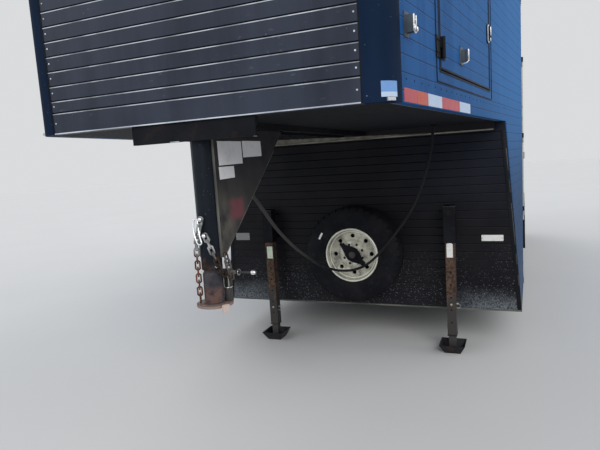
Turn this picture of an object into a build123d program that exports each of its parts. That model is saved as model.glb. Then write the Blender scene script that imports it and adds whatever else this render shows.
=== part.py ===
from build123d import *
import math
import os

os.makedirs("parts", exist_ok=True)

# Overall sizes. Heights are above the ground, lengths run back from the riser's front face.
RISER_X = 1890.5
NOSE_LEN = 2373.0
BOX_LEN = 6055.0
HALF_W = 1295.0
ROOF_Z = 2860.0
ROOF_T = 45.0
WALL_T = 45.0
SKIRT_Z = 310.0

# Tapered nose
NOSE_Z = 1759.0
NOSE_FLOOR_T = 40.0
TAPER = 0.14
TAPER_END = 907.0
RISER_HALF = HALF_W - TAPER * TAPER_END
RISER_FOOT_HALF = HALF_W - 25.0
NOSE_CORNER_R = 110.0
NOSE_RECESS = 4.0

# Planks of the front walls. The lowest two seams of the nose are closer together than the others
PLANK = 65.2
LOW_SEAM_Z, SEAM_Z = NOSE_Z + 98.0, NOSE_Z + 152.0
SEAM_DEPTH, SEAM_H = 5.0, 8.0

# Chassis
DECK_Z = 660.0
DECK_T = 40.0
RAIL_Y = HALF_W - 365.0
RAIL_H = 152.0
RAIL_FLANGE = 90.0
RAIL_T = 8.0
CROSS_STEP = 406.0
CROSS_H = 100.0

# Running gear
AXLES = (3300.0, 4190.0)
TYRE_R = 391.0
TYRE_W = 235.0
WHEEL_Y = HALF_W - 145.0
SPINDLE_R = 25.0
AXLE_R = 38.0
SPRING_HALF = 335.0
SPRING_W = 45.0
LEAF_T = 8.0

# Wheel arches, wells and flares
ARCH_FRONT, ARCH_REAR, ARCH_Z = 2750.0, 4740.0, 905.0
ARCH_CORNER = 240.0
FLARE_OUT = 50.0
FLARE_W = 60.0
WELL_Y = HALF_W - 310.0
WELL_Z = 965.0
WELL_T = 10.0

# Doors
NOSE_DOOR = dict(front=NOSE_LEN - 628.0, rear=NOSE_LEN - 1793.0, low=NOSE_Z + 171.0, high=NOSE_Z + 901.0)
SIDE_DOOR = dict(front=1650.0, rear=2450.0, low=680.0, high=2580.0)
DOOR_GAP = 6.0
REAR_DOOR_T = 44.0
REAR_HINGE_OUT = 16.0
SIDE_HINGE_OUT = 18.0
NOSE_HINGE_OUT = 16.0
KNUCKLE_R, PIN_R, KNUCKLE_H = 10.0, 5.0, 46.0

# Neck and coupler
NECK_X = NOSE_LEN - 87.0
NECK_R = 45.5
NECK_BORE_R = 39.5
INNER_R = 39.1
NECK_LOW_Z = 1130.0
COUPLER_Z = 968.0
BALL_R = 29.75
BALL_DEPTH = 50.0

# Parking legs
LEG_X, LEG_Y = 110.0, HALF_W - 530.0
SLEEVE, LEG_OUTER, LEG_INNER = 88.0, 70.0, 54.0
FOOT_BASE, FOOT_RIM, FOOT_H, FOOT_T = 120.0, 195.0, 70.0, 5.0

# Spare wheel on the riser
SPARE_Z = 778.0
SPARE_X = 117.8

BODY_REAR = RISER_X - BOX_LEN
WALL_Z0 = NOSE_Z
ROOF_LOW = ROOF_Z - ROOF_T
RIM_R = 203.0
SIDES = (("left", 1), ("right", -1))


def side_y(x):
    """Outer face of the tapered side, x measured forward of the riser."""
    return RISER_HALF - TAPER * x


def slab(x0, x1, y0, y1, z0, z1, mode=Mode.ADD):
    """A box between two corners, x measured forward of the riser."""
    with Locations((RISER_X + (x0 + x1) / 2, (y0 + y1) / 2, (z0 + z1) / 2)):
        Box(abs(x1 - x0), abs(y1 - y0), abs(z1 - z0), mode=mode)


def standing(x, y, out_x, out_y, z=0.0):
    """A plane in a standing face at (x, y, z), its own z outwards and its y up."""
    return Plane(origin=(RISER_X + x, y, z), x_dir=(-out_y, out_x, 0), z_dir=(out_x, out_y, 0))


def cut_seams(x, y, out_x, out_y, span, levels):
    """Seams between planks, cut into a standing face: a ledge under the upper plank, a bevel on
    the lower one. The span reaches to each side of (x, y)."""
    section = Plane(origin=(RISER_X + x, y, 0), x_dir=(out_x, out_y, 0), z_dir=(out_y, -out_x, 0))
    bevel = SEAM_DEPTH / SEAM_H
    with BuildSketch(section) as seams:
        for z in levels:
            Polygon((2, z), (-SEAM_DEPTH, z), (2, z - SEAM_H - 2 / bevel), align=None)
    extrude(seams.sketch, amount=span, both=True, mode=Mode.SUBTRACT)


# Nose shell: one ring from above, cut below into front wall, corner posts and side walls
with BuildSketch(Plane.XY.offset(WALL_Z0)) as nose_plan:
    with BuildLine():
        Polyline(
            (RISER_X - TAPER_END - 400, -HALF_W),
            (RISER_X - TAPER_END, -HALF_W),
            (RISER_X + NOSE_LEN, -side_y(NOSE_LEN)),
            (RISER_X + NOSE_LEN, side_y(NOSE_LEN)),
            (RISER_X - TAPER_END, HALF_W),
            (RISER_X - TAPER_END - 400, HALF_W),
            close=True,
        )
    make_face()
    fillet(nose_plan.vertices().group_by(Axis.X)[-1], radius=NOSE_CORNER_R)

with BuildPart() as nose_shell:
    add(nose_plan.sketch)
    extrude(amount=ROOF_LOW - WALL_Z0)
    with BuildSketch(Plane.XY.offset(WALL_Z0)) as nose_hollow:
        add(nose_plan.sketch)
        offset(amount=-WALL_T, mode=Mode.REPLACE)
    extrude(amount=ROOF_LOW - WALL_Z0, mode=Mode.SUBTRACT)

CORNER_BACK = NOSE_LEN - NOSE_CORNER_R
CORNER_IN = side_y(NOSE_LEN) - NOSE_CORNER_R + 6.0

with BuildPart() as nose_front_wall:
    add(nose_shell.part)
    slab(CORNER_BACK, NOSE_LEN - NOSE_RECESS, -CORNER_IN, CORNER_IN, WALL_Z0 - 5, ROOF_LOW + 5,
         mode=Mode.INTERSECT)
    plank_count = int((ROOF_LOW - 20 - SEAM_Z) // PLANK) + 1
    cut_seams(NOSE_LEN - NOSE_RECESS, 0, 1, 0, HALF_W,
              [LOW_SEAM_Z] + [SEAM_Z + i * PLANK for i in range(plank_count)])
nose_front_wall.part.label = "nose_front_wall"
export_step(nose_front_wall.part, "parts/nose_front_wall.step")

with BuildPart() as nose_corner_posts:
    add(nose_shell.part)
    slab(CORNER_BACK, NOSE_LEN + 10, -HALF_W, HALF_W, WALL_Z0 - 5, ROOF_LOW + 5, mode=Mode.INTERSECT)
    slab(CORNER_BACK - 10, NOSE_LEN + 20, -CORNER_IN, CORNER_IN, WALL_Z0 - 5, ROOF_LOW + 5,
         mode=Mode.SUBTRACT)
nose_corner_posts.part.label = "nose_corner_posts"
export_step(nose_corner_posts.part, "parts/nose_corner_posts.step")

# Tapered side walls of the nose, the left one with its door opening
with BuildPart() as nose_side_left:
    add(nose_shell.part)
    slab(-TAPER_END, CORNER_BACK, 0, HALF_W + 5, WALL_Z0 - 5, ROOF_LOW + 5, mode=Mode.INTERSECT)
    slab(NOSE_DOOR["rear"], NOSE_DOOR["front"], 600, HALF_W + 5,
         NOSE_DOOR["low"], NOSE_DOOR["high"], mode=Mode.SUBTRACT)
nose_side_left.part.label = "nose_side_left"
export_step(nose_side_left.part, "parts/nose_side_left.step")

with BuildPart() as nose_side_right:
    add(nose_shell.part)
    slab(-TAPER_END, CORNER_BACK, -HALF_W - 5, 0, WALL_Z0 - 5, ROOF_LOW + 5, mode=Mode.INTERSECT)
nose_side_right.part.label = "nose_side_right"
export_step(nose_side_right.part, "parts/nose_side_right.step")

# Nose door: a slab in the plane of the tapered side, clear of its opening all round
COS, SIN = math.cos(math.atan(TAPER)), math.sin(math.atan(TAPER))


def on_taper(x, z, sign=1):
    """A plane in the tapered side's outer face."""
    return standing(x, sign * side_y(x), SIN, sign * COS, z)


door_mid = (NOSE_DOOR["front"] + NOSE_DOOR["rear"]) / 2
door_plane = on_taper(door_mid, (NOSE_DOOR["low"] + NOSE_DOOR["high"]) / 2)
door_long = (NOSE_DOOR["front"] - NOSE_DOOR["rear"]) / COS - 2 * DOOR_GAP - 2 * WALL_T * TAPER
door_tall = NOSE_DOOR["high"] - NOSE_DOOR["low"] - 2 * DOOR_GAP
with BuildPart() as nose_door:
    with BuildSketch(door_plane):
        Rectangle(door_long, door_tall)
    extrude(amount=-WALL_T)
nose_door.part.label = "nose_door"
export_step(nose_door.part, "parts/nose_door.step")


def knuckle(axis, along, out_dir, out, reach, z0, leaf, flush=True):
    """One hinge knuckle with its strap. The strap runs from the axis in direction along,
    on a face that lies out below the axis, as tall as the whole hinge where both faces are flush.
    Leaf knuckles are bored, frame ones hold the pin."""
    def at(a, b):
        return (axis[0] + a * along[0] + b * out_dir[0], axis[1] + a * along[1] + b * out_dir[1])
    low = z0 if leaf else z0 + KNUCKLE_H + 1
    with BuildSketch(Plane.XY.offset(low)) as strap:
        Polygon(at(0, -out), at(reach, -out), at(reach, -out + 6), at(KNUCKLE_R, -out + 6),
                at(9, 0), at(0, 0), align=None)
        with Locations(axis):
            Circle(KNUCKLE_R)
            if leaf:
                Circle(PIN_R + 0.06, mode=Mode.SUBTRACT)
    extrude(strap.sketch, amount=KNUCKLE_H)
    if flush:
        with BuildSketch(Plane.XY.offset(z0)) as plate:
            Polygon(at(out, -out), at(reach, -out), at(reach, -out + 6), at(out, -out + 6), align=None)
        extrude(plate.sketch, amount=2 * KNUCKLE_H + 1)
    if not leaf:
        with BuildSketch(Plane.XY.offset(z0 - 3)) as pin:
            with Locations(axis):
                Circle(PIN_R)
        extrude(pin.sketch, amount=KNUCKLE_H + 10)


# Strap hinges, lever latch and holdback post of the nose door
NOSE_HINGE_Z = (NOSE_DOOR["low"] + 50, NOSE_DOOR["high"] - 160)
NOSE_STRAP = 72.0
LATCH_Z, LATCH_IN = NOSE_DOOR["low"] + 340.0, 58.0
HOLD_Z, HOLD_REACH = NOSE_DOOR["low"] + 112.0, 395.0
HOLD_GAP = 60.0
HOLD_W, HOLD_H, HOLD_T = 46.0, 90.0, 5.0
nose_hinge = door_plane.from_local_coords((-door_long / 2 - 5, 0, NOSE_HINGE_OUT))
nose_axis = (nose_hinge.X, nose_hinge.Y)
with BuildPart() as nose_door_fittings:
    latch_x = NOSE_DOOR["rear"] + LATCH_IN
    for width, tall, inner, outer in ((46, 116, 0, 6), (22, 92, 6, 18)):
        with BuildSketch(on_taper(latch_x, LATCH_Z).offset(inner)):
            SlotOverall(tall, width, rotation=90)
        extrude(amount=outer - inner)
    post_x = NOSE_DOOR["front"] - HOLD_REACH
    for width, tall, inner, outer in ((HOLD_W, HOLD_H, 0, HOLD_T), (8, 60, HOLD_T, 30), (22, 60, 30, 38)):
        with BuildSketch(on_taper(post_x, HOLD_Z).offset(inner)):
            Rectangle(width, tall)
        extrude(amount=outer - inner)
    for z in NOSE_HINGE_Z:
        knuckle(nose_axis, (-COS, SIN), (SIN, COS), NOSE_HINGE_OUT, NOSE_STRAP, z, True)
nose_door_fittings.part.label = "nose_door_fittings"
export_step(nose_door_fittings.part, "parts/nose_door_fittings.step")
print("nose hinge at", nose_axis)

# Door holdback on the nose side: a plate with two jaws, where the door's post arrives
with BuildPart() as door_holdback:
    hold_plane = on_taper(NOSE_DOOR["front"] + HOLD_REACH + HOLD_GAP, HOLD_Z)
    with BuildSketch(hold_plane):
        Rectangle(HOLD_W, HOLD_H)
    extrude(amount=HOLD_T)
    with BuildSketch(hold_plane.offset(HOLD_T)):
        with GridLocations(28, 0, 2, 1):
            Rectangle(5, 62)
    extrude(amount=30)
door_holdback.part.label = "door_holdback"
export_step(door_holdback.part, "parts/door_holdback.step")

# Nose floor, inside the walls
with BuildPart() as nose_floor:
    with BuildSketch(Plane.XY.offset(WALL_Z0)):
        add(nose_hollow.sketch)
    extrude(amount=NOSE_FLOOR_T)
    slab(-WALL_T, NOSE_LEN, -HALF_W, HALF_W, WALL_Z0 - 5, WALL_Z0 + 100, mode=Mode.INTERSECT)
nose_floor.part.label = "nose_floor"
export_step(nose_floor.part, "parts/nose_floor.step")

# Riser: the wall under the nose, wider at its foot
with BuildPart() as riser_wall:
    with BuildSketch(Plane.YZ.offset(RISER_X)):
        Polygon(
            (-RISER_FOOT_HALF, SKIRT_Z), (RISER_FOOT_HALF, SKIRT_Z),
            (RISER_HALF, NOSE_Z), (-RISER_HALF, NOSE_Z), align=None,
        )
    extrude(amount=-WALL_T)
    riser_planks = int((NOSE_Z - 60 - SKIRT_Z) // PLANK)
    cut_seams(0, 0, 1, 0, HALF_W, [NOSE_Z - 70 - i * PLANK for i in range(riser_planks)])
riser_wall.part.label = "riser_wall"
export_step(riser_wall.part, "parts/riser_wall.step")

# Header beam across the riser's top
HEADER_D = 55.0
with BuildPart() as riser_header:
    slab(0, HEADER_D, -RISER_HALF + 75, RISER_HALF - 75, NOSE_Z - 60, NOSE_Z)
riser_header.part.label = "riser_header"
export_step(riser_header.part, "parts/riser_header.step")

# Lower side panels between riser and taper end, straight lines from section to section
# Columns: distance behind the riser, half width at the skirt, half width at the nose's underside
FLARE_SECTIONS = (
    (WALL_T, RISER_FOOT_HALF, RISER_HALF + TAPER * WALL_T),
    (TAPER_END, HALF_W, HALF_W),
)
with BuildPart() as lower_sides:
    for side, sign in SIDES:
        for behind, foot, top in FLARE_SECTIONS:
            with BuildSketch(Plane.YZ.offset(RISER_X - behind)):
                Polygon(
                    (sign * foot, SKIRT_Z), (sign * top, NOSE_Z),
                    (sign * (top - WALL_T), NOSE_Z), (sign * (foot - WALL_T), SKIRT_Z), align=None,
                )
        loft(ruled=True)
lower_sides.part.label = "lower_sides"
export_step(lower_sides.part, "parts/lower_sides.step")

# Straight side walls with wheel arches, and the left one's entry door opening
REAR_POST = 100.0
for side, sign in SIDES:
    y_in, y_out = sign * (HALF_W - WALL_T), sign * HALF_W
    with BuildPart() as side_wall:
        slab(-TAPER_END, -(BOX_LEN - REAR_POST), y_in, y_out, SKIRT_Z, ROOF_LOW)
        with BuildSketch(Plane.XZ) as arch:
            Polygon(
                (RISER_X - ARCH_FRONT, SKIRT_Z - 20), (RISER_X - ARCH_FRONT, ARCH_Z - ARCH_CORNER),
                (RISER_X - ARCH_FRONT - ARCH_CORNER, ARCH_Z), (RISER_X - ARCH_REAR + ARCH_CORNER, ARCH_Z),
                (RISER_X - ARCH_REAR, ARCH_Z - ARCH_CORNER), (RISER_X - ARCH_REAR, SKIRT_Z - 20), align=None,
            )
        extrude(amount=HALF_W + 20, both=True, mode=Mode.SUBTRACT)
        if side == "left":
            slab(-SIDE_DOOR["front"], -SIDE_DOOR["rear"], y_in - 5, y_out + 5,
                 SIDE_DOOR["low"], SIDE_DOOR["high"], mode=Mode.SUBTRACT)
    side_wall.part.label = f"side_wall_{side}"
    export_step(side_wall.part, f"parts/side_wall_{side}.step")

# Fender flares round the arches
with BuildPart() as wheel_flares:
    for side, sign in SIDES:
        with BuildSketch(Plane.XZ.offset(-sign * HALF_W)):
            for grow, mode in ((FLARE_W, Mode.ADD), (0.0, Mode.SUBTRACT)):
                low = SKIRT_Z - (0 if grow else 20)
                Polygon(
                    (RISER_X - ARCH_FRONT + grow, low),
                    (RISER_X - ARCH_FRONT + grow, ARCH_Z - ARCH_CORNER + grow * 0.41),
                    (RISER_X - ARCH_FRONT - ARCH_CORNER + grow * 0.41, ARCH_Z + grow),
                    (RISER_X - ARCH_REAR + ARCH_CORNER - grow * 0.41, ARCH_Z + grow),
                    (RISER_X - ARCH_REAR - grow, ARCH_Z - ARCH_CORNER + grow * 0.41),
                    (RISER_X - ARCH_REAR - grow, low), align=None, mode=mode,
                )
        extrude(amount=-sign * FLARE_OUT)
wheel_flares.part.label = "wheel_flares"
export_step(wheel_flares.part, "parts/wheel_flares.step")

# Wheel wells: boxes over the tyres inside the load space, open below and outwards
WELL_OUT = HALF_W - WALL_T
with BuildPart() as wheel_wells:
    for side, sign in SIDES:
        slab(-ARCH_FRONT, -ARCH_REAR, sign * WELL_Y, sign * WELL_OUT, DECK_Z - DECK_T, WELL_Z)
        slab(-ARCH_FRONT - WELL_T, -ARCH_REAR + WELL_T, sign * (WELL_Y + WELL_T), sign * (WELL_OUT + 5),
             DECK_Z - DECK_T - 5, WELL_Z - WELL_T, mode=Mode.SUBTRACT)
wheel_wells.part.label = "wheel_wells"
export_step(wheel_wells.part, "parts/wheel_wells.step")

# Deck, cut away over the wheels
with BuildPart() as floor_deck:
    with BuildSketch(Plane.XY.offset(DECK_Z - DECK_T)):
        Polygon(
            (RISER_X - WALL_T, -HALF_W + 100), (RISER_X - WALL_T, HALF_W - 100),
            (RISER_X - TAPER_END, HALF_W - WALL_T), (BODY_REAR + REAR_POST, HALF_W - WALL_T),
            (BODY_REAR + REAR_POST, -HALF_W + WALL_T), (RISER_X - TAPER_END, -HALF_W + WALL_T), align=None,
        )
    extrude(amount=DECK_T)
    for side, sign in SIDES:
        slab(-ARCH_FRONT, -ARCH_REAR, sign * WELL_Y, sign * HALF_W, DECK_Z - 100, DECK_Z + 40,
             mode=Mode.SUBTRACT)
floor_deck.part.label = "floor_deck"
export_step(floor_deck.part, "parts/floor_deck.step")

# Roof, the whole plan with rounded nose corners
with BuildPart() as roof:
    with BuildSketch(Plane.XY.offset(ROOF_LOW)) as roof_plan:
        with BuildLine():
            Polyline(
                (BODY_REAR, -HALF_W), (RISER_X - TAPER_END, -HALF_W),
                (RISER_X + NOSE_LEN, -side_y(NOSE_LEN)), (RISER_X + NOSE_LEN, side_y(NOSE_LEN)),
                (RISER_X - TAPER_END, HALF_W), (BODY_REAR, HALF_W), close=True,
            )
        make_face()
        fillet(roof_plan.vertices().group_by(Axis.X)[-1], radius=NOSE_CORNER_R)
    extrude(amount=ROOF_T)
roof.part.label = "roof"
export_step(roof.part, "parts/roof.step")

# Rear frame: two posts, a header and a sill round the rear doorway
HEADER_H, SILL_LOW, POST_W = 90.0, 520.0, 90.0
with BuildPart() as rear_frame:
    slab(-(BOX_LEN - REAR_POST), -BOX_LEN, -HALF_W, HALF_W, SKIRT_Z, ROOF_LOW)
    slab(-(BOX_LEN - REAR_POST) + 5, -BOX_LEN - 5, -HALF_W + POST_W, HALF_W - POST_W,
         DECK_Z, ROOF_LOW - HEADER_H, mode=Mode.SUBTRACT)
    slab(-(BOX_LEN - REAR_POST) + 5, -BOX_LEN - 5, -HALF_W + POST_W, HALF_W - POST_W,
         SKIRT_Z - 5, SILL_LOW, mode=Mode.SUBTRACT)
rear_frame.part.label = "rear_frame"
export_step(rear_frame.part, "parts/rear_frame.step")

# Rear doors, laid over the frame, hinged outside the corners
LEAF_FRONT = -(BOX_LEN + DOOR_GAP)
LEAF_BACK = LEAF_FRONT - REAR_DOOR_T
LEAF_LOW, LEAF_HIGH = DECK_Z - 60.0, ROOF_LOW - 30.0
HINGE_X = LEAF_BACK - REAR_HINGE_OUT
HINGE_Y = HALF_W + REAR_HINGE_OUT
BAR_R, BAR_Y = 14.0, 300.0
BAR_GUIDE_Z, REAR_LEVER_Z, REAR_LEVER = 1350.0, 1200.0, 320.0
REAR_HINGE_Z = (800.0, 1650.0, 2550.0)
for side, sign in SIDES:
    with BuildPart() as rear_door:
        slab(LEAF_FRONT, LEAF_BACK, sign * 4, sign * (HALF_W - 5), LEAF_LOW, LEAF_HIGH)
    rear_door.part.label = f"rear_door_{side}"
    export_step(rear_door.part, f"parts/rear_door_{side}.step")
    with BuildPart() as rear_door_fittings:
        with BuildSketch(Plane.XY.offset(LEAF_LOW + 20)):
            with Locations((RISER_X + LEAF_BACK - 26, sign * BAR_Y)):
                Circle(BAR_R)
        extrude(amount=LEAF_HIGH - LEAF_LOW - 40)
        for z in (LEAF_LOW + 60, BAR_GUIDE_Z, LEAF_HIGH - 60):
            slab(LEAF_BACK, LEAF_BACK - 26, sign * (BAR_Y - 25), sign * (BAR_Y + 25), z - 25, z + 25)
        lever_end = BAR_Y + REAR_LEVER
        slab(LEAF_BACK - 30, LEAF_BACK - 49, sign * BAR_Y, sign * lever_end,
             REAR_LEVER_Z - 15, REAR_LEVER_Z + 15)
        slab(LEAF_BACK, LEAF_BACK - 49, sign * (lever_end - 30), sign * lever_end,
             REAR_LEVER_Z - 40, REAR_LEVER_Z + 40)
        for z in REAR_HINGE_Z:
            knuckle((RISER_X + HINGE_X, sign * HINGE_Y), (0, -sign), (-1, 0), REAR_HINGE_OUT, 110, z, True,
                    flush=False)
    rear_door_fittings.part.label = f"rear_door_fittings_{side}"
    export_step(rear_door_fittings.part, f"parts/rear_door_fittings_{side}.step")

# Side entry door, flush in its opening, with its own cam bar near the free edge
with BuildPart() as side_door:
    slab(-SIDE_DOOR["front"] - DOOR_GAP, -SIDE_DOOR["rear"] + DOOR_GAP, HALF_W - WALL_T, HALF_W,
         SIDE_DOOR["low"] + DOOR_GAP, SIDE_DOOR["high"] - DOOR_GAP)
side_door.part.label = "side_door"
export_step(side_door.part, "parts/side_door.step")
SIDE_BAR_X = -SIDE_DOOR["rear"] + 90
SIDE_AXIS = (RISER_X - SIDE_DOOR["front"] - DOOR_GAP / 2, HALF_W + SIDE_HINGE_OUT)
SIDE_HINGE_Z = (850.0, 1600.0, 2350.0)
SIDE_GUIDE_Z, SIDE_LEVER_Z, SIDE_LEVER = 1500.0, 1460.0, 260.0
with BuildPart() as side_door_fittings:
    with BuildSketch(Plane.XY.offset(SIDE_DOOR["low"] + 30)):
        with Locations((RISER_X + SIDE_BAR_X, HALF_W + 24)):
            Circle(11)
    extrude(amount=SIDE_DOOR["high"] - SIDE_DOOR["low"] - 60)
    for z in (SIDE_DOOR["low"] + 80, SIDE_GUIDE_Z, SIDE_DOOR["high"] - 80):
        slab(SIDE_BAR_X - 22, SIDE_BAR_X + 22, HALF_W, HALF_W + 24, z - 20, z + 20)
    slab(SIDE_BAR_X, SIDE_BAR_X + SIDE_LEVER, HALF_W + 26, HALF_W + 42, SIDE_LEVER_Z - 12, SIDE_LEVER_Z + 12)
    slab(SIDE_BAR_X + SIDE_LEVER - 30, SIDE_BAR_X + SIDE_LEVER, HALF_W, HALF_W + 42,
         SIDE_LEVER_Z - 35, SIDE_LEVER_Z + 35)
    for z in SIDE_HINGE_Z:
        knuckle(SIDE_AXIS, (-1, 0), (0, 1), SIDE_HINGE_OUT, 110, z, True)
side_door_fittings.part.label = "side_door_fittings"
export_step(side_door_fittings.part, "parts/side_door_fittings.step")

# Hinge knuckles and pins on the fixed side of all the doors
with BuildPart() as hinge_knuckles:
    for z in NOSE_HINGE_Z:
        knuckle(nose_axis, (COS, -SIN), (SIN, COS), NOSE_HINGE_OUT, NOSE_STRAP, z, False)
    for z in SIDE_HINGE_Z:
        knuckle(SIDE_AXIS, (1, 0), (0, 1), SIDE_HINGE_OUT, 80, z, False)
    for side, sign in SIDES:
        for z in REAR_HINGE_Z:
            knuckle((RISER_X + HINGE_X, sign * HINGE_Y), (1, 0), (0, sign), REAR_HINGE_OUT, 150, z, False,
                    flush=False)
hinge_knuckles.part.label = "hinge_knuckles"
export_step(hinge_knuckles.part, "parts/hinge_knuckles.step")

# Chassis rails: two I-beams
RAIL_Z = DECK_Z - DECK_T - RAIL_H
with BuildPart() as chassis_rails:
    for side, sign in SIDES:
        yc = sign * RAIL_Y
        for y0, y1, z0, z1 in (
            (-RAIL_FLANGE / 2, RAIL_FLANGE / 2, 0, RAIL_T),
            (-RAIL_T / 2, RAIL_T / 2, RAIL_T, RAIL_H - RAIL_T),
            (-RAIL_FLANGE / 2, RAIL_FLANGE / 2, RAIL_H - RAIL_T, RAIL_H),
        ):
            slab(-WALL_T, -(BOX_LEN - REAR_POST), yc + y0, yc + y1, RAIL_Z + z0, RAIL_Z + z1)
chassis_rails.part.label = "chassis_rails"
export_step(chassis_rails.part, "parts/chassis_rails.step")

# Crossmembers between the rails, and outriggers from the rails to the skirts
CROSS_COUNT = int((BOX_LEN - REAR_POST - 400) // CROSS_STEP)
OUTRIGGERS = (-(TAPER_END + 43), -1600.0, -(ARCH_FRONT - 250), -(ARCH_REAR + 260), -(BOX_LEN - 355))
with BuildPart() as crossmembers:
    for i in range(CROSS_COUNT + 1):
        x = -300 - i * CROSS_STEP
        slab(x - 25, x + 25, -RAIL_Y + RAIL_FLANGE / 2, RAIL_Y - RAIL_FLANGE / 2,
             DECK_Z - DECK_T - CROSS_H, DECK_Z - DECK_T)
    for x in OUTRIGGERS:
        for side, sign in SIDES:
            slab(x - 20, x + 20, sign * (RAIL_Y + RAIL_FLANGE / 2), sign * (HALF_W - WALL_T),
                 DECK_Z - DECK_T - 80, DECK_Z - DECK_T)
crossmembers.part.label = "crossmembers"
export_step(crossmembers.part, "parts/crossmembers.step")

# Axles: tubes, spring seats and spindles
with BuildPart() as axles:
    for back in AXLES:
        for radius, half in ((AXLE_R, WHEEL_Y - 105), (SPINDLE_R, WHEEL_Y + 10)):
            with BuildSketch(Plane.XZ.offset(-half)):
                with Locations((RISER_X - back, TYRE_R)):
                    Circle(radius)
            extrude(amount=2 * half)
        for side, sign in SIDES:
            slab(-back - 60, -back + 60, sign * RAIL_Y - 30, sign * RAIL_Y + 30, TYRE_R - 50, TYRE_R - 20)
axles.part.label = "axles"
export_step(axles.part, "parts/axles.step")

# Leaf springs slung under the axles. Columns: leaf number from the top, half length
LEAVES = ((0, SPRING_HALF), (1, 250.0), (2, 165.0))
SEAT_Z = TYRE_R - 50.0
with BuildPart() as leaf_springs:
    for side, sign in SIDES:
        for back in AXLES:
            with BuildSketch(Plane.XZ.offset(-(sign * RAIL_Y + SPRING_W / 2))):
                for leaf, half in LEAVES:
                    top = SEAT_Z - 0.98 - leaf * LEAF_T
                    rise = 30.0 * (half / SPRING_HALF) ** 2
                    with BuildLine():
                        a = (RISER_X - back - half, top + rise)
                        b = (RISER_X - back + half, top + rise)
                        ThreePointArc(a, (RISER_X - back, top), b)
                        Line(b, (b[0], b[1] - LEAF_T))
                        ThreePointArc((b[0], b[1] - LEAF_T), (RISER_X - back, top - LEAF_T),
                                      (a[0], a[1] - LEAF_T))
                        Line((a[0], a[1] - LEAF_T), a)
                    make_face()
            extrude(amount=SPRING_W)
leaf_springs.part.label = "leaf_springs"
export_step(leaf_springs.part, "parts/leaf_springs.step")

# Spring hangers, the middle one with its equaliser. Columns: distance behind the riser, half length
EYE_Z = SEAT_Z + 30.0
HANGERS = (
    (AXLES[0] - SPRING_HALF - 22, 30.0),
    ((AXLES[0] + AXLES[1]) / 2, 118.0),
    (AXLES[1] + SPRING_HALF + 22, 30.0),
)
with BuildPart() as spring_hangers:
    for side, sign in SIDES:
        for back, half in HANGERS:
            for edge in (-1, 1):
                slab(-back - half, -back + half, sign * RAIL_Y + edge * (SPRING_W / 2 + 0.3),
                     sign * RAIL_Y + edge * (SPRING_W / 2 + 8.3), EYE_Z - 20, RAIL_Z)
            slab(-back - half, -back + half, sign * RAIL_Y - SPRING_W / 2 - 0.3,
                 sign * RAIL_Y + SPRING_W / 2 + 0.3, RAIL_Z - 20, RAIL_Z)
spring_hangers.part.label = "spring_hangers"
export_step(spring_hangers.part, "parts/spring_hangers.step")

# Road wheels. Tyre half profile, columns: radius, offset across the tread
TYRE_PROFILE = (
    (RIM_R, -85.7), (RIM_R + 18, -85.7), (RIM_R + 24, -104.0), (300.0, -TYRE_W / 2), (340.0, -TYRE_W / 2),
    (376.0, -98.0),
    (TYRE_R, -78.0), (TYRE_R, 78.0), (376.0, 98.0), (340.0, TYRE_W / 2), (300.0, TYRE_W / 2),
    (RIM_R + 24, 104.0), (RIM_R + 18, 85.7), (RIM_R, 85.7),
)
# Rim, hub and drum half section, outboard side positive. Columns: radius, offset
RIM_PROFILE = (
    (SPINDLE_R + 0.05, -95.0), (150.0, -95.0), (150.0, -35.0), (188.0, -35.0), (188.0, -92.0),
    (RIM_R + 17.5, -92.0), (RIM_R + 17.5, -86.0), (RIM_R - 0.3, -86.0), (RIM_R - 0.3, 86.0),
    (RIM_R + 17.5, 86.0), (RIM_R + 17.5, 92.0), (190.0, 92.0), (190.0, 10.0),
    (120.0, 10.0), (105.0, 0.0), (62.0, 0.0), (62.0, 42.0), (40.0, 50.0), (0.0, 50.0),
    (0.0, 14.0), (SPINDLE_R + 0.05, 14.0),
)
WHEELS = [(f"{place}_{side}", back, sign)
          for place, back in zip(("front", "rear"), AXLES) for side, sign in SIDES]
for name, back, sign in WHEELS:
    wheel_plane = Plane(origin=(RISER_X - back, sign * WHEEL_Y, TYRE_R), x_dir=(1, 0, 0), z_dir=(0, 0, 1))
    with BuildPart() as tyre:
        with BuildSketch(Plane.XY.offset(TYRE_R)):
            Polygon(*[(RISER_X - back + r, sign * WHEEL_Y + sign * w) for r, w in TYRE_PROFILE], align=None)
        revolve(axis=Axis((RISER_X - back, 0, TYRE_R), (0, 1, 0)))
    tyre.part.label = f"tyre_{name}"
    export_step(tyre.part, f"parts/tyre_{name}.step")
    with BuildPart() as rim:
        with BuildSketch(Plane.XY.offset(TYRE_R)):
            Polygon(*[(RISER_X - back + r, sign * WHEEL_Y + sign * w) for r, w in RIM_PROFILE], align=None)
        revolve(axis=Axis((RISER_X - back, 0, TYRE_R), (0, 1, 0)))
    rim.part.label = f"rim_{name}"
    export_step(rim.part, f"parts/rim_{name}.step")

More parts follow.
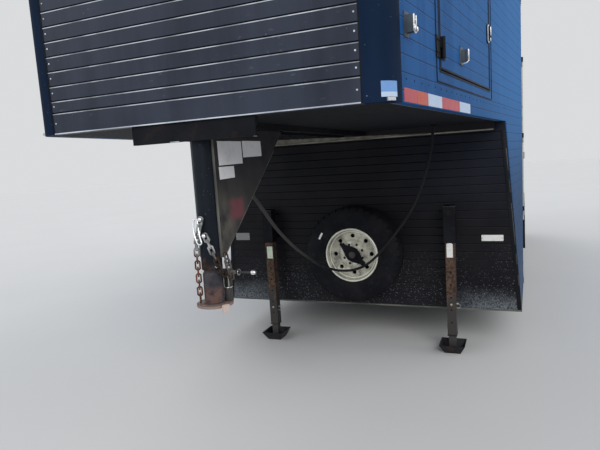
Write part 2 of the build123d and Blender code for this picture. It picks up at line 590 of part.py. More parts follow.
# Spare wheel, its face turned forward, flat on the riser. Columns of the rim: radius, offset forward
SPARE_RIM = (
    (40.0, 38.0), (40.0, 30.0), (105.0, 30.0), (120.0, 20.0), (190.0, 20.0), (190.0, -92.0),
    (RIM_R + 17.5, -92.0), (RIM_R + 17.5, -86.0), (RIM_R - 0.3, -86.0), (RIM_R - 0.3, 86.0),
    (RIM_R + 17.5, 86.0), (RIM_R + 17.5, 92.0), (196.0, 92.0), (196.0, 30.0),
    (124.0, 30.0), (109.0, 40.0),
)
HAND_HOLE_R, HAND_HOLE_AT = 20.0, 156.0
spare_axis = Axis((RISER_X, 0, SPARE_Z), (1, 0, 0))
with BuildPart() as spare_tyre:
    with BuildSketch(Plane.XZ):
        Polygon(*[(RISER_X + SPARE_X + w, SPARE_Z + r) for r, w in TYRE_PROFILE], align=None)
    revolve(axis=spare_axis)
spare_tyre.part.label = "spare_tyre"
export_step(spare_tyre.part, "parts/spare_tyre.step")
with BuildPart() as spare_rim:
    with BuildSketch(Plane.XZ):
        Polygon(*[(RISER_X + SPARE_X + w, SPARE_Z + r) for r, w in SPARE_RIM], align=None)
    revolve(axis=spare_axis)
    with BuildSketch(Plane.YZ.offset(RISER_X + SPARE_X - 20)):
        with Locations((0, SPARE_Z)):
            with PolarLocations(HAND_HOLE_AT, 8, start_angle=22.5):
                Circle(HAND_HOLE_R)
    extrude(amount=100, mode=Mode.SUBTRACT)
spare_rim.part.label = "spare_rim"
export_step(spare_rim.part, "parts/spare_rim.step")

# Spare carrier: post from the riser through the hub, with a slanted clamp bar
BAR_ANGLE = 40.0
with BuildPart() as spare_carrier:
    with BuildSketch(Plane.YZ.offset(RISER_X)):
        with Locations((0, SPARE_Z)):
            Rectangle(120, 120)
    extrude(amount=8)
    with BuildSketch(Plane.YZ.offset(RISER_X + 8)):
        with Locations((0, SPARE_Z)):
            Circle(22)
    extrude(amount=SPARE_X + 72)
    with BuildSketch(Plane.YZ.offset(RISER_X + SPARE_X + 41)):
        with Locations((0, SPARE_Z)):
            Rectangle(330, 42, rotation=-BAR_ANGLE)
    extrude(amount=16)
spare_carrier.part.label = "spare_carrier"
export_step(spare_carrier.part, "parts/spare_carrier.step")

# Parking legs: sleeve on the riser, outer leg, inner leg and foot, both sides in one node each
SLEEVE_LOW, SLEEVE_HIGH = 870.0, 1155.0
OUTER_LOW, INNER_TOP, BORE_TOP = 130.0, SLEEVE_HIGH - 200.0, SLEEVE_HIGH - 60.0
with BuildPart() as leg_sleeves:
    for side, sign in SIDES:
        y = sign * LEG_Y
        slab(LEG_X - SLEEVE / 2, LEG_X + SLEEVE / 2, y - SLEEVE / 2, y + SLEEVE / 2, SLEEVE_LOW, SLEEVE_HIGH)
        slab(LEG_X - LEG_OUTER / 2, LEG_X + LEG_OUTER / 2, y - LEG_OUTER / 2, y + LEG_OUTER / 2,
             SLEEVE_LOW - 5, SLEEVE_HIGH - 8, mode=Mode.SUBTRACT)
        for z in (SLEEVE_LOW + 40, SLEEVE_HIGH - 50):
            slab(0, LEG_X - SLEEVE / 2, y - SLEEVE / 2 + 5, y + SLEEVE / 2 - 5, z - 8, z + 8)
leg_sleeves.part.label = "leg_sleeves"
export_step(leg_sleeves.part, "parts/leg_sleeves.step")
with BuildPart() as outer_legs:
    for side, sign in SIDES:
        y = sign * LEG_Y
        slab(LEG_X - LEG_OUTER / 2, LEG_X + LEG_OUTER / 2, y - LEG_OUTER / 2, y + LEG_OUTER / 2,
             OUTER_LOW, SLEEVE_HIGH - 8)
        slab(LEG_X - LEG_INNER / 2, LEG_X + LEG_INNER / 2, y - LEG_INNER / 2, y + LEG_INNER / 2,
             OUTER_LOW - 5, BORE_TOP, mode=Mode.SUBTRACT)
outer_legs.part.label = "outer_legs"
export_step(outer_legs.part, "parts/outer_legs.step")
with BuildPart() as inner_legs:
    for side, sign in SIDES:
        y = sign * LEG_Y
        slab(LEG_X - LEG_INNER / 2, LEG_X + LEG_INNER / 2, y - LEG_INNER / 2, y + LEG_INNER / 2,
             FOOT_T, INNER_TOP)
inner_legs.part.label = "inner_legs"
export_step(inner_legs.part, "parts/inner_legs.step")
with BuildPart() as leg_feet:
    for side, sign in SIDES:
        for low, trim, mode in ((0, 0, Mode.ADD), (FOOT_T, 2 * FOOT_T, Mode.SUBTRACT)):
            for z, width in ((low, FOOT_BASE), (FOOT_H + low / 10, FOOT_RIM)):
                with BuildSketch(Plane.XY.offset(z)):
                    with Locations((RISER_X + LEG_X, sign * LEG_Y)):
                        Rectangle(width - trim, width - trim)
            loft(ruled=True, mode=mode)
leg_feet.part.label = "leg_feet"
export_step(leg_feet.part, "parts/leg_feet.step")

# Safety chains: each hangs on a hook of the neck, and its links follow a route of points x, y, z
LINK_L, LINK_W, LINK_T, LINK_GAP = 44.0, 26.0, 7.0, 0.9
LINK_PITCH = LINK_L - 2 * LINK_T - LINK_GAP
CHAINS = (
    (
        (NECK_X + 61.5, 2.0, 1358.0), (NECK_X + 59, -17.0, 1300.0), (NECK_X + 47, -39.0, 1245.0),
        (NECK_X + 38, -48.0, 1190.0), (NECK_X + 36, -50.0, 1120.0), (NECK_X + 33, -52.0, 1050.0),
        (NECK_X + 30, -54.0, 990.0),
    ),
    (
        (NECK_X + 60.6, 12.9, 1288.0), (NECK_X + 55.5, 26.0, 1252.0), (NECK_X + 50, 36.0, 1215.0),
        (NECK_X + 42, 45.0, 1180.0), (NECK_X + 30, 55.0, 1143.0), (NECK_X + 12, 62.0, 1112.0),
        (NECK_X - 4, 66.0, 1090.0),
    ),
)
HOOK_R, HOOK_HEAD_R = 5.5, 9.0
chain_joints = []
for route in CHAINS:
    with BuildLine() as chain_line:
        Spline(*[(RISER_X + x, y, z) for x, y, z in route])
    run = chain_line.wires()[0]
    joints = [run.position_at(i * LINK_PITCH, position_mode=PositionMode.LENGTH)
              for i in range(int(run.length // LINK_PITCH) + 1)]
    turns = [round((b - a).get_angle(c - b), 1) for a, b, c in zip(joints, joints[1:], joints[2:])]
    print("chain links:", len(joints) - 1, "largest turn:", max(turns))
    chain_joints.append(joints)

# Neck: outer tube under the nose with a headed pin for each chain, and the inner tube
COUPLER_TOP = 1118.0
with BuildPart() as neck_tube:
    with BuildSketch(Plane.XY.offset(NECK_LOW_Z)):
        with Locations((RISER_X + NECK_X, 0)):
            Circle(NECK_R)
            Circle(NECK_BORE_R, mode=Mode.SUBTRACT)
    extrude(amount=NOSE_Z - NECK_LOW_Z)
    for first, second, *_ in chain_joints:
        seat = first + (second - first).normalized() * (HOOK_R + 0.3 - LINK_GAP / 2)
        axis_point = Vector(RISER_X + NECK_X, 0, seat.Z)
        reach = (seat - axis_point).length
        pin_plane = Plane(origin=axis_point, z_dir=seat - axis_point)
        for radius, inner, outer in ((HOOK_R, NECK_R - 3, reach + 6), (HOOK_HEAD_R, reach + 6, reach + 10)):
            with BuildSketch(pin_plane.offset(inner)) as pin:
                Circle(radius)
            extrude(pin.sketch, amount=outer - inner)
neck_tube.part.label = "neck_tube"
export_step(neck_tube.part, "parts/neck_tube.step")
with BuildPart() as neck_inner:
    with BuildSketch(Plane.XY.offset(COUPLER_TOP)):
        with Locations((RISER_X + NECK_X, 0)):
            Circle(INNER_R)
    extrude(amount=400)
neck_inner.part.label = "neck_inner"
export_step(neck_inner.part, "parts/neck_inner.step")

# Coupler head, half section, columns: radius, height
SOCKET_WALL_R, FLANGE_R, FLANGE_T = 44.0, 80.0, 12.0
COUPLER_PROFILE = (
    (0.0, COUPLER_Z + BALL_DEPTH), (BALL_R, COUPLER_Z + BALL_DEPTH),
    (BALL_R, COUPLER_Z), (FLANGE_R, COUPLER_Z),
    (FLANGE_R, COUPLER_Z + FLANGE_T), (SOCKET_WALL_R, COUPLER_Z + FLANGE_T), (SOCKET_WALL_R, COUPLER_TOP - 8),
    (INNER_R, COUPLER_TOP), (0.0, COUPLER_TOP),
)
with BuildPart() as coupler:
    with BuildSketch(Plane.XZ):
        Polygon(*[(RISER_X + NECK_X + r, z) for r, z in COUPLER_PROFILE], align=None)
    revolve(axis=Axis((RISER_X + NECK_X, 0, 0), (0, 0, 1)))
coupler.part.label = "coupler"
export_step(coupler.part, "parts/coupler.step")

# Latch: a pin housing welded to the coupler's side, two cheeks over it, a sprung handle to the left
# and a keeper on the flange's rim. Places are measured from the neck's axis
LATCH_R, LATCH_GAP = 19.0, 0.3
LATCH_ANGLE = math.radians(124.7)
LATCH_OUT = SOCKET_WALL_R + LATCH_R + LATCH_GAP
LATCH_X = NECK_X + LATCH_OUT * math.cos(LATCH_ANGLE)
LATCH_Y = LATCH_OUT * math.sin(LATCH_ANGLE)
LATCH_LOW = COUPLER_Z + FLANGE_T + LATCH_GAP
LATCH_TOP, HANDLE_Z, CHEEK_TOP = 1040.0, 1108.0, 1122.0
KEEPER_ANGLE = math.radians(62)
KEEPER_W, KEEPER_H, KEEPER_T = 30.0, 32.0, 14.0
# Handle, columns: radius, distance to the left of the latch's middle
HANDLE_PROFILE = (
    (0.0, -18.0), (7.0, -18.0), (7.0, -15.0), (5.0, -15.0), (5.0, 50.0), (14.0, 50.0), (14.0, 58.0),
    (5.0, 58.0), (5.0, 114.0), (9.5, 120.0), (9.5, 134.0), (6.0, 140.0), (0.0, 140.0),
)
with BuildPart() as coupler_latch:
    for radius, low, high in ((LATCH_R, LATCH_LOW, LATCH_TOP), (8.0, LATCH_TOP, CHEEK_TOP - 8)):
        with BuildSketch(Plane.XY.offset(low)) as round_part:
            with Locations((RISER_X + LATCH_X, LATCH_Y)):
                Circle(radius)
        extrude(round_part.sketch, amount=high - low)
    for edge in (-1, 1):
        slab(LATCH_X - 12, LATCH_X + 12, LATCH_Y + edge * 10, LATCH_Y + edge * 15, LATCH_TOP - 2, CHEEK_TOP)
    slab(LATCH_X - 12, LATCH_X + 12, LATCH_Y - 10, LATCH_Y + 10, CHEEK_TOP - 6, CHEEK_TOP)
    with BuildSketch(Plane.XY.offset(HANDLE_Z)) as handle:
        Polygon(*[(RISER_X + LATCH_X + r, LATCH_Y + y) for r, y in HANDLE_PROFILE], align=None)
    revolve(handle.sketch, axis=Axis((RISER_X + LATCH_X, 0, HANDLE_Z), (0, 1, 0)))
    keeper_x, keeper_y = math.cos(KEEPER_ANGLE), math.sin(KEEPER_ANGLE)
    rim = FLANGE_R + LATCH_GAP
    with BuildSketch(standing(NECK_X + rim * keeper_x, rim * keeper_y, keeper_x, keeper_y,
                              COUPLER_Z + FLANGE_T + 2 - KEEPER_H / 2)) as keeper:
        RectangleRounded(KEEPER_W, KEEPER_H, 5)
    extrude(keeper.sketch, amount=KEEPER_T)
coupler_latch.part.label = "coupler_latch"
export_step(coupler_latch.part, "parts/coupler_latch.step")

# Gusset plates on both sides of the tube, from its middle back under the nose. Columns: x, z
GUSSET_Y, GUSSET_T = NECK_R + 0.3, 12.0
GUSSET_BACK, GUSSET_DROP = NECK_X - 711.0, 580.0
GUSSET = (
    (NECK_X, NOSE_Z), (GUSSET_BACK, NOSE_Z), (GUSSET_BACK, NOSE_Z - 30),
    (NECK_X - 24, NOSE_Z - GUSSET_DROP), (NECK_X, NOSE_Z - GUSSET_DROP),
)
with BuildPart() as neck_gussets:
    for side, sign in SIDES:
        with BuildSketch(Plane.XZ.offset(-sign * GUSSET_Y)) as plate:
            Polygon(*[(RISER_X + x, z) for x, z in GUSSET], align=None)
        extrude(plate.sketch, amount=-sign * GUSSET_T)
neck_gussets.part.label = "neck_gussets"
export_step(neck_gussets.part, "parts/neck_gussets.step")

# Floor beams under the nose, from the riser to a cross channel in front of the neck
BEAM_Y, BEAM_W, BEAM_H = 61.0, 60.0, 30.0
CHANNEL_X, CHANNEL_D, CHANNEL_H, CHANNEL_T = NECK_X + 49.0, 25.0, 79.0, 7.0
CHANNEL_HALF = 296.0
with BuildPart() as nose_beams:
    for side, sign in SIDES:
        slab(HEADER_D, CHANNEL_X + 5, sign * BEAM_Y, sign * (BEAM_Y + BEAM_W), NOSE_Z - BEAM_H, NOSE_Z)
    slab(CHANNEL_X, CHANNEL_X + CHANNEL_D, -CHANNEL_HALF, CHANNEL_HALF, NOSE_Z - CHANNEL_H, NOSE_Z)
    slab(CHANNEL_X - 5, CHANNEL_X + CHANNEL_D - CHANNEL_T, -CHANNEL_HALF - 5, CHANNEL_HALF + 5,
         NOSE_Z - CHANNEL_H + CHANNEL_T, NOSE_Z - BEAM_H - CHANNEL_T, mode=Mode.SUBTRACT)
nose_beams.part.label = "nose_beams"
export_step(nose_beams.part, "parts/nose_beams.step")

with BuildPart() as safety_chains:
    for joints in chain_joints:
        for i, (a, b) in enumerate(zip(joints, joints[1:])):
            along = (b - a).normalized()
            middle = (a + b) / 2
            outwards = (middle - Vector(RISER_X + NECK_X, 0, middle.Z)).normalized()
            across = along.cross(outwards).normalized()
            if i % 2 == 0:
                link_plane = Plane(origin=middle, x_dir=across, z_dir=across.cross(along))
            else:
                link_plane = Plane(origin=middle, x_dir=across.cross(along), z_dir=across)
            with BuildSketch(link_plane) as link:
                Rectangle(LINK_W, LINK_L)
                chamfer(link.vertices(), length=7)
                Rectangle(LINK_W - 2 * LINK_T, LINK_L - 2 * LINK_T, mode=Mode.SUBTRACT)
            extrude(amount=LINK_T / 2, both=True)
safety_chains.part.label = "safety_chains"
export_step(safety_chains.part, "parts/safety_chains.step")

# Lamps: clear ones round the nose's lower corners, amber ones near its roof, red ones behind
LAMP_T = 9.0
LAMP_BACK, LAMP_DROP = 230.0, 45.0
LAMP_W, LAMP_H = 64.0, 22.0
corner_x = NOSE_LEN - NOSE_CORNER_R
corner_y = side_y(NOSE_LEN) + TAPER * NOSE_CORNER_R - NOSE_CORNER_R / COS
with BuildPart() as marker_lamps:
    for side, sign in SIDES:
        with BuildSketch(Plane.XY.offset(NOSE_Z + 3)) as corner_lamp:
            with Locations((RISER_X + corner_x, sign * corner_y)):
                Circle(NOSE_CORNER_R + LAMP_T)
                Circle(NOSE_CORNER_R, mode=Mode.SUBTRACT)
            near, far = math.radians(41), math.radians(57)
            reach = 2 * NOSE_CORNER_R
            Polygon(
                (RISER_X + corner_x, sign * corner_y),
                (RISER_X + corner_x + reach * math.cos(near), sign * (corner_y + reach * math.sin(near))),
                (RISER_X + corner_x + reach * math.cos(far), sign * (corner_y + reach * math.sin(far))),
                align=None, mode=Mode.INTERSECT,
            )
        extrude(corner_lamp.sketch, amount=12)
        with BuildSketch(on_taper(NOSE_LEN - LAMP_BACK, ROOF_LOW - LAMP_DROP, sign)) as roof_lamp:
            RectangleRounded(LAMP_W, LAMP_H, 8)
        extrude(roof_lamp.sketch, amount=14)
marker_lamps.part.label = "marker_lamps"
export_step(marker_lamps.part, "parts/marker_lamps.step")
TAIL_LAMP_W, TAIL_LAMP_H, TAIL_LAMP_T = 250.0, 60.0, 22.0
TAIL_LAMP_END, TAIL_LAMP_Z = HALF_W - 145.0, SILL_LOW + 40.0
TOP_LAMP_Z, TOP_LAMP_STEP = LEAF_HIGH + 15.0, 150.0
with BuildPart() as tail_lamps:
    for side, sign in SIDES:
        slab(-BOX_LEN, -BOX_LEN - TAIL_LAMP_T, sign * (TAIL_LAMP_END - TAIL_LAMP_W), sign * TAIL_LAMP_END,
             TAIL_LAMP_Z - TAIL_LAMP_H / 2, TAIL_LAMP_Z + TAIL_LAMP_H / 2)
    for y in (-TOP_LAMP_STEP, 0, TOP_LAMP_STEP):
        slab(-BOX_LEN, -BOX_LEN - 12, y - LAMP_W / 2, y + LAMP_W / 2, TOP_LAMP_Z - 9, TOP_LAMP_Z + 9)
tail_lamps.part.label = "tail_lamps"
export_step(tail_lamps.part, "parts/tail_lamps.step")

# Cable from between the gussets, round the spare wheel and up under the nose. Columns: x, y, z
CABLE_R = 10.0
CABLE = (
    (NECK_X - 300, 0.0, 1506.0), (NECK_X - 406, -2.0, 1432.0), (NECK_X - 545, -10.0, 1334.0),
    (NECK_X - 726, -32.0, 1212.0), (1340.0, -62.0, 1098.0),
    (1090.0, -95.0, 985.0), (830.0, -125.0, 880.0), (585.0, -150.0, 778.0), (385.0, -150.0, 706.0),
    (290.0, -70.0, 664.0), (270.0, 60.0, 672.0), (272.0, 185.0, 742.0), (285.0, 330.0, 900.0),
    (302.0, 470.0, 1075.0), (325.0, 560.0, 1222.0), (365.0, 632.0, 1400.0), (398.0, 686.0, 1580.0),
    (420.0, 708.0, NOSE_Z - 7),
)
route = [Vector(RISER_X + x, y, z) for x, y, z in CABLE]
radii = []
for before, at, after in zip(route, route[1:], route[2:]):
    turn = math.radians((at - before).get_angle(after - at))
    radii.append(0.45 * min((at - before).length, (after - at).length) / math.tan(turn / 2))
print("cable radii mm:", [round(r) for r in radii])
print("cable runs mm:", [round((b - a).length) for a, b in zip(route, route[1:])])
with BuildPart() as cable:
    with BuildLine() as cable_path:
        FilletPolyline(*route, radius=radii)
    with BuildSketch(Plane(origin=route[0], z_dir=route[1] - route[0])):
        Circle(CABLE_R)
    sweep()
print("cable length mm:", round(sum(e.length for e in cable_path.edges())), "volume over section:",
      round(cable.part.volume / (math.pi * CABLE_R ** 2)))
cable.part.label = "cable"
export_step(cable.part, "parts/cable.step")

# Clamps that hold the cable's two ends
with BuildPart() as cable_clamps:
    x, y, z = CABLE[0]
    slab(x - 12, x + 20, -GUSSET_Y, GUSSET_Y, z - 17, z + 23)
    x, y, z = CABLE[-1]
    slab(x - 18, x + 18, y - 18, y + 20, z - 12, NOSE_Z)
cable_clamps.part.label = "cable_clamps"
export_step(cable_clamps.part, "parts/cable_clamps.step")
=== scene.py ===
import bmesh
import bpy
from functools import reduce
from math import atan2, copysign, cos, hypot, pi, radians, sin
from mathutils import Matrix, Vector


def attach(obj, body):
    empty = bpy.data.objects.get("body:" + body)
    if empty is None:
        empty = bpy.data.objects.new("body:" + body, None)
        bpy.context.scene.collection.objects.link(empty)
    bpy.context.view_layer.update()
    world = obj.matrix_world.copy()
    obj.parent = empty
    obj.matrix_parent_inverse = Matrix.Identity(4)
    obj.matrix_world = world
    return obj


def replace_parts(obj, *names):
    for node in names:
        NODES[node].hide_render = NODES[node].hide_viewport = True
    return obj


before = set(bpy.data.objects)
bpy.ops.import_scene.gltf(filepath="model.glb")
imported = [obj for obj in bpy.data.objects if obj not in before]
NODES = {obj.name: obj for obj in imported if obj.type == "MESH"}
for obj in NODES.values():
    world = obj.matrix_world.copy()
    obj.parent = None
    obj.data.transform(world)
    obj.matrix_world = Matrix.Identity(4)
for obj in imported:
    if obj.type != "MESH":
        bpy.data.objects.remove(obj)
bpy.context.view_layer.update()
scene = bpy.context.scene

# Sizes in metres. Lengths x run forward of the riser's front face, heights are above the ground.
RISER = 1.8905
NOSE_LEN, BOX_LEN = 2.373, 6.055
HALF_W, ROOF_Z, ROOF_T = 1.295, 2.86, 0.045
NOSE_Z, SKIRT_Z, DECK_Z = 1.759, 0.31, 0.66
TAPER, TAPER_END = 0.14, 0.907
TAPER_COS, TAPER_SIN = 1 / hypot(1, TAPER), TAPER / hypot(1, TAPER)
CORNER_R = 0.11
CORNER_X = NOSE_LEN - CORNER_R
RECESS = 0.004
NECK_X, NECK_R, COUPLER_Z = 2.286, 0.0455, 0.968
AXLES, TYRE_R, WHEEL_Y, RAIL_Y = (3.3, 4.19), 0.391, 1.15, HALF_W - 0.365
SPARE_Z, SPARE_X = 0.778, 0.1178
LEG_X, LEG_Y, SLEEVE, LEG_OUTER = 0.11, 0.765, 0.088, 0.07
DOOR_FRONT, DOOR_REAR, DOOR_LOW, DOOR_HIGH = 1.745, 0.58, 1.93, 2.66
ENTRY_FRONT, ENTRY_REAR, ENTRY_LOW, ENTRY_HIGH = -1.65, -2.45, 0.68, 2.58
PLANK, BOARD_W, HINGE_T = 0.0652, 0.1524, 0.0058
LOW_SEAM_Z, SEAM_Z = NOSE_Z + 0.098, NOSE_Z + 0.152
RISER_SEAM_Z, SIDE_SEAM_Z = NOSE_Z - 0.07, NOSE_Z + 0.112
SIDES = (("left", 1), ("right", -1))


def at(x, y, z):
    return Vector((RISER + x, y, z))


def shift(x, y, z):
    return Matrix.Translation((x, y, z))


def side_y(x):
    """Outer face of the tapered side."""
    return HALF_W - TAPER * TAPER_END - TAPER * x


CORNER_Y = side_y(CORNER_X) - CORNER_R / TAPER_COS
NOSE_IN = side_y(NOSE_LEN) - CORNER_R + 0.006


def facing(origin, out, up=(0, 0, 1)):
    """A frame on a face: x to the right as seen from outside, y up, z out."""
    out, up = Vector(out).normalized(), Vector(up)
    right = up.cross(out).normalized()
    m = Matrix((right, out.cross(right), out)).transposed().to_4x4()
    m.translation = Vector(origin)
    return m


def on_riser(y, z, x=0):
    return facing(at(x, y, z), (1, 0, 0))


def on_taper(x, z, sign=1):
    return facing(at(x, sign * side_y(x), z), (TAPER_SIN, sign * TAPER_COS, 0))


def on_wall(x, z, sign=1):
    return facing(at(x, sign * HALF_W, z), (0, sign, 0))


def on_rear(y, z, back=0.05):
    return facing(at(-BOX_LEN - back, y, z), (-1, 0, 0))


def add(name, data):
    obj = bpy.data.objects.new(name, data)
    scene.collection.objects.link(obj)
    return obj


def dim(tone, share):
    return tuple(c * share for c in tone)


# Materials

class Nodes:
    """Short calls that add nodes to a tree, link them and set their values."""

    def __init__(self, owner):
        owner.use_nodes = True
        self.tree = owner.node_tree

    def put(self, socket, value):
        if isinstance(value, bpy.types.NodeSocket):
            self.tree.links.new(value, socket)
        elif isinstance(value, tuple) and len(value) == 3 and len(socket.default_value) == 4:
            socket.default_value = (*value, 1)
        elif value is not None:
            socket.default_value = value

    def fill(self, node, **values):
        for key, value in values.items():
            self.put(node.inputs[key.replace("_", " ")], value)
        return node

    def node(self, kind, *inputs, **props):
        n = self.tree.nodes.new(f"ShaderNode{kind}")
        for key, value in props.items():
            setattr(n, key, value)
        for socket, value in zip(n.inputs, inputs):
            self.put(socket, value)
        return n

    def math(self, operation, a, b=None):
        return self.node("Math", a, b, operation=operation).outputs[0]

    def both(self, *values):
        return reduce(lambda a, b: self.math("MULTIPLY", a, b), values)

    def either(self, *values):
        return reduce(lambda a, b: self.math("MAXIMUM", a, b), values)

    def minus(self, a, b):
        return self.math("SUBTRACT", a, b)


class Look(Nodes):
    """A procedural material: one Principled shader, and short calls for the fields that feed it."""

    def __init__(self, name, rough=0.5, metal=0, coat=0, spec=0.5):
        self.mat = bpy.data.materials.new(name)
        super().__init__(self.mat)
        self.shader = self.fill(self.tree.nodes["Principled BSDF"], Roughness=rough, Metallic=metal,
                                Coat_Weight=coat, Coat_Roughness=0.06, Specular_IOR_Level=spec)
        self.pos = self.node("TexCoord").outputs["Object"]
        self.x, self.y, self.z = self.node("SeparateXYZ", self.pos).outputs

    def ease(self, value, low, high):
        """0 below low, 1 above high, smooth between; the other way round if low is above high."""
        if low > high:
            return self.minus(1, self.ease(value, high, low))
        return self.node("MapRange", value, low, high, 0, 1,
                         interpolation_type="SMOOTHSTEP").outputs[0]

    def noise(self, scale, detail=3, rough=0.55, stretch=None, distort=0):
        where = self.pos
        if stretch:
            where = self.node("VectorMath", where, stretch, operation="MULTIPLY").outputs[0]
        n = self.fill(self.node("TexNoise"), Vector=where, Scale=scale, Detail=detail,
                      Roughness=rough, Distortion=distort)
        return n.outputs["Fac"]

    def patch(self, low, high, *field, **more):
        """Patches of noise, with the soft edge between low and high."""
        return self.ease(self.noise(*field, **more), low, high)

    def cells(self, scale, **props):
        return self.fill(self.node("TexVoronoi", **props), Vector=self.pos, Scale=scale).outputs

    def specks(self, scale, size, keep):
        """Small round spots, one in some of the cells."""
        cells = self.cells(scale)
        red = self.node("SeparateColor", cells["Color"]).outputs[0]
        return self.both(self.ease(cells["Distance"], size, size * 0.5), self.math("LESS_THAN", red, keep))

    def mixed(self, kind, first, output, *values):
        n = self.node("Mix", data_type=kind)
        for i, value in zip((0, first, first + 1), values):
            self.put(n.inputs[i], value)
        return n.outputs[output]

    def mix(self, amount, a, b):
        return self.mixed("RGBA", 6, 2, amount, a, b)

    def blend(self, amount, a, b):
        return self.mixed("FLOAT", 2, 0, amount, a, b)

    def base(self, dark, light, *patch):
        """Starts the tone, with light patches on dark."""
        self.tone = self.mix(self.patch(*patch), dark, light)

    def over(self, colour, *shares):
        """Lays a colour over the tone, as much as the shares' product says."""
        self.tone = self.mix(self.both(*shares), self.tone, colour)

    def bump(self, height, distance, strength=1):
        n = self.fill(self.node("Bump"), Strength=strength, Distance=distance, Height=height)
        last = self.shader.inputs["Normal"]
        if last.is_linked:
            self.put(n.inputs["Normal"], last.links[0].from_socket)
        self.put(last, n.outputs[0])

    def done(self, rough, *bumps):
        """Ends with the roughness (field, low, high) and bumps (height, distance, strength)."""
        self.fill(self.shader, Base_Color=self.tone, Roughness=self.blend(*rough))
        for values in bumps:
            self.bump(*values)
        return self.mat

    def inner(self):
        """1 on the walls' and doors' inner faces."""
        x = self.minus(self.x, RISER)
        outer = self.minus(HALF_W - TAPER * TAPER_END, self.both(x, TAPER))
        depth = self.minus(self.math("MINIMUM", outer, HALF_W), self.math("ABSOLUTE", self.y))
        wall = self.both(self.math("GREATER_THAN", depth, 0.042), self.math("GREATER_THAN", x, -BOX_LEN))
        leaf = self.both(self.math("LESS_THAN", x, -BOX_LEN), self.math("GREATER_THAN", x, -BOX_LEN - 0.008))
        return self.either(wall, leaf)

    def seams(self, first, single=None):
        """(painted shade under each upper plank, painted highlight on the lip at the bevel's foot), with one
        more seam below.
        """
        level = self.math("FRACT", self.math("DIVIDE", self.minus(self.z, first), PLANK))
        dark, lip = self.seam_at(self.minus(PLANK, self.both(level, PLANK)))
        if single is not None:
            above = self.math("GREATER_THAN", self.z, first - 0.03)
            more_dark, more_lip = self.seam_at(self.minus(single, self.z))
            dark = self.either(self.both(dark, above), more_dark)
            lip = self.either(self.both(lip, above), more_lip)
        return dark, lip

    def seam_at(self, drop):
        # Painted shade just under the seam, then painted highlight on the lip below it.
        dark = self.both(self.ease(drop, -0.0008, 0.0002), self.ease(drop, 0.0044, 0.0028))
        return dark, self.both(self.ease(drop, 0.0042, 0.0056), self.ease(drop, 0.0102, 0.0084))


def panel_paint(name, dark, light, rough, spec, first=None, single=None, lips=0, lines=1, dust=0,
                streaks=0.5, relief=1, inside=False, shades=()):
    """Painted sheet planks with rain streaks, scuffs and a few pale specks, and painted shade and highlights
    along the seams.

    shades: (x or z, where it starts, where it is full, share, tone) of a lighter or darker tone laid over the
    paint, such as the walls' painted reflection and painted shade.
    """
    k = Look(name, rough, 0, 0, spec)
    cloud = k.noise(0.9, 4)
    streak = k.noise(9, 4, stretch=(1, 1, 0.07))
    field = k.math("ADD", k.both(cloud, 1 - streaks), k.both(streak, streaks))
    k.tone = k.mix(k.ease(field, 0.38, 0.62), dark, light)
    for axis, start, full, share, tone in shades:
        k.over(tone, k.ease(getattr(k, axis), start, full), share)
    k.over((0.24, 0.26, 0.29), k.patch(0.62, 0.74, 22, 5, stretch=(1, 1, 2.6)),
           k.patch(0.48, 0.62, 2.3, 2), 0.16)
    k.over((0.42, 0.45, 0.5), k.either(k.specks(23, 0.075, 0.16), k.specks(61, 0.1, 0.07)), 0.3)
    if dust:
        k.over((0.13, 0.135, 0.14), k.ease(k.z, SKIRT_Z + 0.55, SKIRT_Z), k.patch(0.35, 0.7, 6, 5), dust)
    if first is not None:
        # Painted shade in each seam and a painted highlight on the lip below it; worn only sets how strongly
        # that highlight shows, in patches.
        seam, lip = k.seams(first, single)
        worn = k.blend(k.patch(0.36, 0.62, 7, 4, stretch=(1, 1, 0.2)), 0.35, 1)
        k.over((0.004, 0.005, 0.008), seam, lines)
        k.over((0.62, 0.66, 0.72), lip, worn, lips)
        k.bump(k.minus(k.both(lip, 0.5), seam), 0.003, relief)
    if inside:
        grain = k.patch(0.35, 0.7, 6, 6, 0.65, stretch=(9, 9, 0.5), distort=0.6)
        k.over(k.mix(grain, (0.24, 0.17, 0.1), (0.36, 0.27, 0.17)), k.inner())
    return k.done((cloud, rough, rough + 0.14), (k.noise(3.2, 2, stretch=(1, 1, 1.6)), 0.004, 0.2))


def plain_paint(name, dark, light, rough=0.45, rust=0, spec=0.5, grit=0.25):
    """Brushed or sprayed frame paint, with pale grit and some rust."""
    k = Look(name, rough, 0, 0, spec)
    k.base(dark, light, 0.35, 0.68, 4, 5)
    if rust:
        k.over((0.16, 0.066, 0.032), k.patch(0.56, 0.66, 13, 6, 0.7), rust)
    k.over((0.32, 0.32, 0.31), k.specks(95, 0.14, 0.12), grit)
    return k.done((k.noise(9, 4), rough - 0.1, rough + 0.2), (k.noise(140, 3), 0.0006, 0.5),
                  (k.noise(5, 3), 0.002, 0.2))


